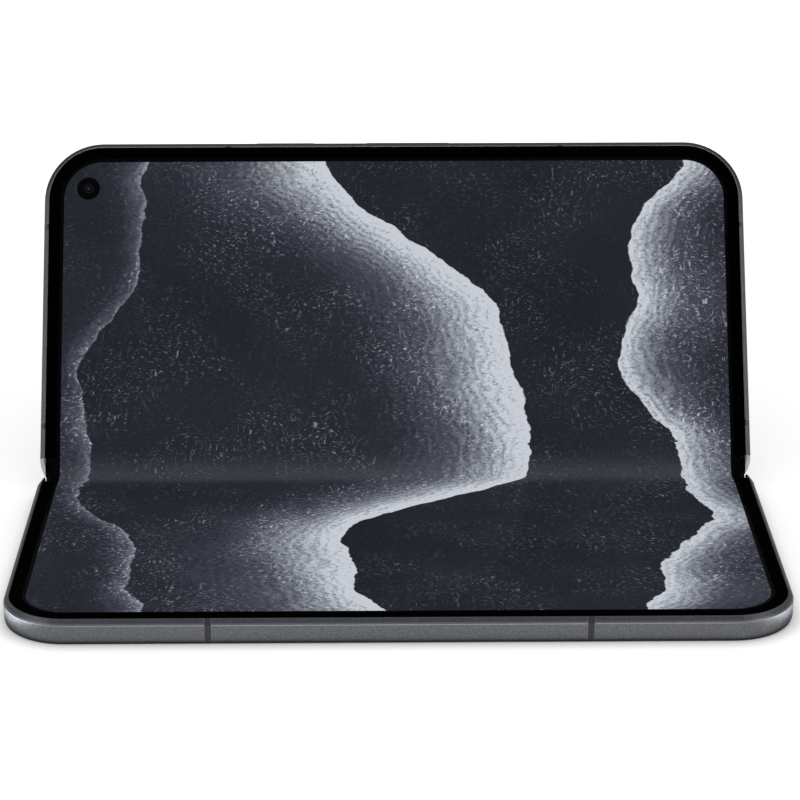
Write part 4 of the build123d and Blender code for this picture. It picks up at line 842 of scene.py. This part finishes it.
@dataclass(frozen=True)
class BendingStrip:
    """One half of the screen's bend, or of the sheet under it. Sizes are in mm."""

    name: str
    body: str
    mirrored: bool
    half_width: float
    top: float
    bottom: float
    start: float = 0.0
    end: float = 7.0
    rows: int = 49
    columns: int = 25
    lead: float = 0.2
    line: FoldLine = FoldLine()

    def build(self) -> bpy.types.Object:
        """Builds the strip as a closed skin.

        Returns:
            A loop of points, the top face from the flat half to the fold and the bottom face back,
            carried across the phone on a grid. Its UV map holds the place on the screen.
        """
        run = np.linspace(self.start, self.end, self.rows)
        loop_run = np.concatenate([run, run[::-1]])
        upper, lower = self.line.points(run, self.top), self.line.points(run, self.bottom)
        section = np.concatenate([upper, lower[::-1]])
        along = loop_run - self.line.zone
        if self.mirrored:
            section = section * (-1, 1)
            along = -along
        section = self.line.to_row(section)
        across = np.linspace(-self.half_width, self.half_width, self.columns)
        count = len(section)
        points = np.empty((self.columns, count, 3))
        points[..., 0] = across[:, None]
        points[..., 1:] = section[None, :, :]
        column, corner = np.meshgrid(np.arange(self.columns - 1), np.arange(count), indexing="ij")
        after = (corner + 1) % count
        here, there = column * count, (column + 1) * count
        skin = np.stack([here + corner, here + after, there + after, there + corner], axis=-1)
        skin = skin.reshape(-1, 4)
        step = np.arange(self.rows - 1)
        wall = np.stack([step, count - 1 - step, count - 2 - step, step + 1], axis=-1)
        far = wall[:, ::-1] + (self.columns - 1) * count
        faces = np.concatenate([skin, wall, far])
        if not self.mirrored:
            faces = faces[:, ::-1]
        piece = new_piece(self.name, points.reshape(-1, 3) * MM, faces)
        places = np.empty((self.columns, count, 2))
        places[..., 0] = across[:, None] / UV_STEP
        places[..., 1] = along[None, :] / UV_STEP
        layer = piece.data.uv_layers.new(name=UV_MAP)
        index = np.empty(len(piece.data.loops), np.int32)
        piece.data.loops.foreach_get("vertex_index", index)
        layer.data.foreach_set("uv", places.reshape(-1, 2)[index].astype(np.float32).ravel())
        piece.data.polygons.foreach_set("use_smooth", np.ones(len(faces), bool))
        return piece

    def hinge_points(self) -> tuple[tuple[float, float, float], tuple[float, float, float]]:
        """Where the turning starts, the lead's share of the way in, and the fold's centre."""
        ends = self.line.points(np.array([0.0, self.line.zone]), 0.0)
        if self.mirrored:
            ends = ends * (-1, 1)
        ends = self.line.to_row(ends) * MM
        start = ends[0] + (ends[1] - ends[0]) * self.lead
        return (0.0, float(start[0]), float(start[1])), (0.0, float(ends[1][0]), float(ends[1][1]))

    def mount(self, piece: bpy.types.Object) -> None:
        """Bakes the strip's transform into its mesh; the hinge's points are worked out but not
        used.
        """
        start, end = self.hinge_points()
        if self.mirrored:
            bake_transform(piece)
        else:
            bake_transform(piece)


@dataclass(frozen=True)
class FoldingScreen:
    """The part of the inner screen that bends over the hinge, and the sheets that carry it."""

    half_width: float = 75.26
    thickness: float = 0.45
    sheet_gap: float = 0.02
    sheet: float = 0.12
    sheet_half_width: float = 74.6
    sheet_start: float = 0.3
    sheet_end: float = 6.95

    def build(self, wardrobe: Wardrobe) -> None:
        """Builds and mounts both halves of the bend with their sheets."""
        half = self.thickness / 2
        low = -half - self.sheet_gap - self.sheet
        for mirrored, side in ((False, "lower"), (True, "upper")):
            body = side + "_half"
            name = "fold_screen_" + side
            strip = BendingStrip(name, body, mirrored, self.half_width, half, -half)
            piece = strip.build()
            strip.mount(piece)
            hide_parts("inner_display_fold")
            wardrobe.dress(piece, wardrobe.screen(Place.STRIP))
            LOG.info("%s: %d faces", piece.name, len(piece.data.polygons))
            sheet = BendingStrip(
                "support_sheet_" + side,
                body,
                mirrored,
                self.sheet_half_width,
                -half - self.sheet_gap,
                low,
                self.sheet_start,
                self.sheet_end,
            )
            plate = sheet.build()
            sheet.mount(plate)
            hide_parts(side + "_wing_plate")
            wardrobe.dress(plate, wardrobe.material(HINGE_STEEL))
            LOG.info("%s: %d faces", plate.name, len(plate.data.polygons))


@dataclass(frozen=True)
class WallEdge:
    """The outer wall of a half near its lower edge. Sizes are in mm.

    The wall's foot is rounded over the rise. The depth sets the curve's shape, and the most is how
    far it may go in.
    """

    place: Place
    half_width: float = 77.6
    length: float = 75.1
    corner: float = 13.0
    bottom: float = -5.05
    rise: float = 1.2
    depth: float = 0.55
    most: float = 0.23
    skin: float = 0.02

    def level(self, height: float) -> tuple[tuple[float, float, float], tuple[float, float, float]]:
        """A point and the normal, in metres in the row, of the plane that high over the edge."""
        shift, turn = self.place.settings()
        normal = (0.0, math.sin(turn), math.cos(turn))
        reach = (self.bottom + height - shift[2]) * MM
        return (0.0, normal[1] * reach, normal[2] * reach), normal

    def moved(self, points: np.ndarray) -> np.ndarray:
        """The points with those of the wall's foot moved in.

        Args:
            points: One row each, in the row and in metres.

        Returns:
            The same rows. A point is on the wall where its distance inside the half's outline, a
            rectangle with round corners, is under the skin's thickness.
        """
        shift, turn = self.place.settings()
        x, y, z = (points / MM).T
        v = y * math.cos(turn) - z * math.sin(turn) + shift[1]
        w = y * math.sin(turn) + z * math.cos(turn) + shift[2]
        way = -1.0 if self.place is Place.LOWER else 1.0
        over_x = np.abs(x) - (self.half_width - self.corner)
        over_v = v * way - (self.length - self.corner)
        round_x, round_v = np.maximum(over_x, 0), np.maximum(over_v, 0)
        both = (over_x > 0) & (over_v > 0)
        reach = np.where(both, np.hypot(round_x, round_v), np.maximum(over_x, over_v))
        on_wall = (self.corner - reach < self.skin) & (w < self.bottom + self.rise)
        lift = np.clip((w - self.bottom) / self.rise, 0, 1)
        inset = np.minimum(self.depth * (1 - np.sqrt(1 - (1 - lift) ** 2)), self.most)
        inset = np.where(on_wall, inset, 0)
        side = np.where(both, round_x / np.maximum(reach, TINY), over_x >= over_v) * np.sign(x)
        front = np.where(both, round_v / np.maximum(reach, TINY), over_v > over_x) * way
        x = x - side * inset
        v = v - front * inset
        back_y = (v - shift[1]) * math.cos(turn) + (w - shift[2]) * math.sin(turn)
        back_z = (w - shift[2]) * math.cos(turn) - (v - shift[1]) * math.sin(turn)
        return np.stack([x, back_y, back_z], axis=-1) * MM


@dataclass(frozen=True)
class SmoothShell:
    """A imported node's own skin with its corners shaded round where the real one is round.

    Corners flatter than the sharp angle, in degrees, are shaded round. A tucked skin is cut at the
    shares of the wall's rounded height.
    """

    node: str
    body: str
    slot: str
    finish: Finish
    place: Place = Place.ROW
    tucked: bool = False
    sharp: float = 24.0
    cuts: tuple[float, ...] = (0.04, 0.12, 0.24, 0.4, 0.62, 1.0)

    def tuck_under(self, work: bmesh.types.BMesh) -> None:
        """Rounds the outer wall in towards its lower edge.

        The wall is cut at a few heights. Its corners at height h over the edge then move in by
        depth * (1 - sqrt(1 - (1 - h / rise) squared)), no further than the glass inside the wall
        allows, along the outline's own normal.

        Args:
            work: The skin's mesh, in metres.
        """
        edge = WallEdge(self.place)
        for share in self.cuts:
            middle, normal = edge.level(share * edge.rise)
            parts = work.verts[:] + work.edges[:] + work.faces[:]
            bmesh.ops.bisect_plane(
                work, geom=parts, dist=CUT_REACH, plane_co=middle, plane_no=normal
            )
        spots = np.array([vertex.co[:] for vertex in work.verts])
        for vertex, spot in zip(work.verts, edge.moved(spots)):
            vertex.co = spot

    def build(self, wardrobe: Wardrobe) -> bpy.types.Object:
        """Copies the node's skin, closes its doubled corners and keeps its true edges sharp."""
        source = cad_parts[self.node]
        mesh = source.data.copy()
        mesh.name = self.node + "_skin"
        work = bmesh.new()
        work.from_mesh(mesh)
        bmesh.ops.remove_doubles(work, verts=work.verts, dist=WELD)
        if self.tucked:
            self.tuck_under(work)
        limit = math.radians(self.sharp)
        for edge in work.edges:
            edge.smooth = len(edge.link_faces) == 2 and edge.calc_face_angle(0.0) < limit
        for face in work.faces:
            face.smooth = True
        work.to_mesh(mesh)
        work.free()
        piece = bpy.data.objects.new(self.node + "_skin", mesh)
        bpy.context.scene.collection.objects.link(piece)
        weighted = piece.modifiers.new("face_weights", "WEIGHTED_NORMAL")
        weighted.keep_sharp = True
        wardrobe.dress(piece, wardrobe.material(self.finish))
        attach(piece, self.body)
        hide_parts(self.node)
        LOG.info("%s: %d faces", piece.name, len(mesh.polygons))
        return piece


SMOOTH_SHELLS: tuple[SmoothShell, ...] = (
    SmoothShell("lower_frame", "lower_half", "frame_metal", LOWER_FRAME_PAINTED_LIGHT, Place.LOWER, True),
    SmoothShell("upper_frame", "upper_half", "frame_metal", FRAME_METAL, Place.UPPER, True),
    SmoothShell(
        "lower_antenna_bands", "lower_half", "band_plastic", BAND_PLASTIC, Place.LOWER, True
    ),
    SmoothShell(
        "upper_antenna_bands", "upper_half", "band_plastic", BAND_PLASTIC, Place.UPPER, True
    ),
    SmoothShell("lower_bezel", "lower_half", "bezel_plastic", BEZEL_PLASTIC),
    SmoothShell("upper_bezel", "upper_half", "bezel_plastic", BEZEL_PLASTIC),
    SmoothShell("lower_corner_caps", "lower_half", "cap_metal", CAP_METAL, Place.LOWER, True),
    SmoothShell("upper_corner_caps", "upper_half", "cap_metal", CAP_METAL, Place.UPPER, True),
    SmoothShell("camera_plateau", "upper_half", "frame_metal", FRAME_METAL),
    SmoothShell("spine_cover", "spine", "spine_metal", SPINE_METAL),
    SmoothShell("spine_end_plugs", "spine", "spine_metal", PLUG_METAL),
    SmoothShell("cover_glass", "lower_half", "back_glass", COVER_GLASS),
    SmoothShell("rear_cover", "upper_half", "back_glass", BACK_GLASS),
)


@dataclass(frozen=True)
class Lamp:
    """One soft lamp: where it hangs, how large and bright it is, its aim. Metres and watts."""

    name: str
    place: tuple[float, float, float]
    width: float
    height: float
    power: float
    aim: tuple[float, float, float] | None = None

    def hang(self, target: tuple[float, float, float]) -> None:
        """Hangs the lamp so that it faces its own aim, or the target where it has none."""
        data = bpy.data.lights.new(self.name, "AREA")
        data.shape = "RECTANGLE"
        data.size, data.size_y = self.width, self.height
        data.energy = self.power
        lamp = bpy.data.objects.new(self.name, data)
        lamp.matrix_world = aimed(self.place, self.aim or target)
        bpy.context.scene.collection.objects.link(lamp)


def aimed(place: tuple[float, float, float], target: tuple[float, float, float]) -> Matrix:
    """Matrix of an object at the place whose own -Z points at the target."""
    back = np.subtract(place, target)
    back = back / np.linalg.norm(back)
    side = np.cross((0.0, 1.0, 0.0) if abs(back[2]) > UPRIGHT else (0.0, 0.0, 1.0), back)
    side = side / np.linalg.norm(side)
    return posed(place, side, np.cross(back, side), back)


def posed(place: np.ndarray, side: np.ndarray, up: np.ndarray, back: np.ndarray) -> Matrix:
    """Matrix of an object at the place with those three directions as its own X, Y and Z."""
    columns = np.eye(4)
    columns[:3, 0], columns[:3, 1], columns[:3, 2], columns[:3, 3] = side, up, back, place
    return Matrix(columns.tolist())


@dataclass(frozen=True)
class PhotoCamera:
    """The camera as the photograph was taken. Millimetres, degrees and pixels of 800."""

    target: tuple[float, float, float] = (0.90676, 37.55, 21.97388)
    elevation: float = 20.53208715
    pan: float = -0.61383570
    roll: float = -0.04464147
    distance: float = 582.36399
    focal: float = 2697.81093
    picture: float = 800.0
    sensor: float = 36.0
    clip: tuple[float, float] = (0.01, 50.0)

    def place(self) -> None:
        """Sets the scene's camera up."""
        elevation, pan, roll = (math.radians(a) for a in (self.elevation, self.pan, self.roll))
        level = math.cos(elevation)
        back = np.array([math.sin(pan) * level, -math.cos(pan) * level, math.sin(elevation)])
        side = np.cross((0.0, 0.0, 1.0), back)
        side = side / np.linalg.norm(side)
        up = np.cross(back, side)
        turned = math.cos(roll) * side + math.sin(roll) * up
        upright = -math.sin(roll) * side + math.cos(roll) * up
        data = bpy.data.cameras.new("photo_camera")
        data.sensor_width = self.sensor
        data.lens = self.focal * self.sensor / self.picture
        data.clip_start, data.clip_end = self.clip
        camera = bpy.data.objects.new("photo_camera", data)
        place = (np.array(self.target) + back * self.distance) * MM
        camera.matrix_world = posed(place, turned, upright, back)
        bpy.context.scene.collection.objects.link(camera)
        bpy.context.scene.camera = camera
        LOG.info("camera placed")


@dataclass(frozen=True)
class Studio:
    """A white table that runs off out of sight, a white room and soft lamps. Metres and watts.

    The table's own light is own_light up to near and full beyond far. The room is white at the
    horizon and falls to the ceiling's light, as a mirror sees it, over ceiling_edge. The two cards
    are small lamps that face up beside the lower half's front corners.
    """

    target: tuple[float, float, float] = (0.0, 0.03, 0.03)
    centre: tuple[float, float, float] = (0.0, 0.03, 0.0)
    half_table: float = 6.0
    table_grey: float = 0.8
    table_roughness: float = 0.9
    near: float = 0.16
    far: float = 0.5
    own_light: float = 0.4
    shade_reach: float = 0.0035
    shade_power: float = 1.5
    mirror_power: float = 4.5
    room_light: float = 0.75
    ceiling_light: float = 0.3
    ceiling_edge: tuple[float, float] = (-0.02, 0.15)
    lamps: tuple[Lamp, ...] = (
        Lamp("left_lamp", (-1.1, -0.6, 0.7), 0.9, 0.9, 1.6),
        Lamp("right_lamp", (1.1, -0.6, 0.7), 0.9, 0.9, 1.6),
        Lamp("back_lamp", (0.0, 1.2, 0.8), 1.4, 0.6, 0.8),
        Lamp("front_lamp", (0.0, -1.3, 0.3), 0.7, 0.3, 2.4),
        Lamp("left_card", (-0.0865, -0.035, 0.0006), 0.014, 0.024, 0.008, (-0.0865, -0.035, 1.0)),
        Lamp("right_card", (0.0865, -0.035, 0.0006), 0.014, 0.024, 0.006, (0.0865, -0.035, 1.0)),
    )

    def seen(self, graph: Graph) -> Socket:
        """1 for a ray from the camera, a mirror or glass, and 0 for a ray that lights."""
        ray = graph.add("LightPath").outputs
        direct = graph.number("MAXIMUM", ray["Is Camera Ray"], ray["Is Glossy Ray"])
        return graph.number("MAXIMUM", direct, ray["Is Transmission Ray"])

    def build_room(self) -> None:
        """Sets up the world: white for the camera, darker overhead for mirrors, soft for light."""
        graph = Graph(bpy.data.worlds.new("white_room"), "Background")
        upward = graph.split(graph.add("TexCoord").outputs["Generated"])[2]
        ceiling = graph.span(graph.fade(upward, *self.ceiling_edge), 1.0, self.ceiling_light)
        from_camera = graph.add("LightPath").outputs["Is Camera Ray"]
        shown = graph.number("MAXIMUM", ceiling, from_camera)
        strength = graph.span(self.seen(graph), self.room_light, shown)
        graph.fill(graph.shader, {"Color": WHITE, "Strength": strength})
        bpy.context.scene.world = graph.owner

    def build_table(self) -> None:
        """Builds the table.

        Part of its white is its own, so that a soft shadow stays on it. Ambient occlusion darkens
        that own light close to the object, a painted contact shadow, and deeper still for a
        mirror's ray, a painted shade in reflections.
        """
        size = self.half_table
        corners = np.array([(-size, -size, 0), (size, -size, 0), (size, size, 0), (-size, size, 0)])
        table = new_piece("table", corners, np.array([[0, 1, 2, 3]]))
        graph = Graph(bpy.data.materials.new("white_table"))
        point = graph.add("TexCoord").outputs["Object"]
        way = graph.arrow("SUBTRACT", point, self.centre).outputs[0]
        away = graph.arrow("LENGTH", way).outputs["Value"]
        own = graph.span(graph.fade(away, self.near, self.far), self.own_light, 1.0)
        # Painted contact shadow: the table's own light darkened by ambient occlusion, more so in
        # reflections.
        shade = graph.add("AmbientOcclusion", {"Distance": self.shade_reach}).outputs["AO"]
        mirror = graph.add("LightPath").outputs["Is Glossy Ray"]
        depth = graph.number("MULTIPLY_ADD", mirror, self.mirror_power, self.shade_power)
        own = graph.number("MULTIPLY", own, graph.number("POWER", shade, depth))
        inputs = {
            "Base Color": (self.table_grey,) * 3 + (1.0,),
            "Roughness": self.table_roughness,
            "Specular IOR Level": 0.0,
            "Emission Color": WHITE,
            "Emission Strength": graph.number("MULTIPLY", own, self.seen(graph)),
        }
        graph.fill(graph.shader, inputs)
        table.data.materials.append(graph.owner)

    def build(self) -> None:
        """Builds the room, the table and the lamps."""
        scene = bpy.context.scene
        scene.view_settings.view_transform = "Standard"
        self.build_room()
        self.build_table()
        for lamp in self.lamps:
            lamp.hang(self.target)
        LOG.info("studio built")


def main() -> None:
    """Builds and dresses the phone in order, then the studio and the camera."""
    logging.basicConfig(level=logging.INFO, format="%(name)s: %(message)s")
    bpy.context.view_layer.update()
    wardrobe = Wardrobe()
    wardrobe.dress_all()
    for shell in SMOOTH_SHELLS:
        shell.build(wardrobe)
    FoldingScreen().build(wardrobe)
    Studio().build()
    PhotoCamera().place()


if __name__ == "__main__":
    main()
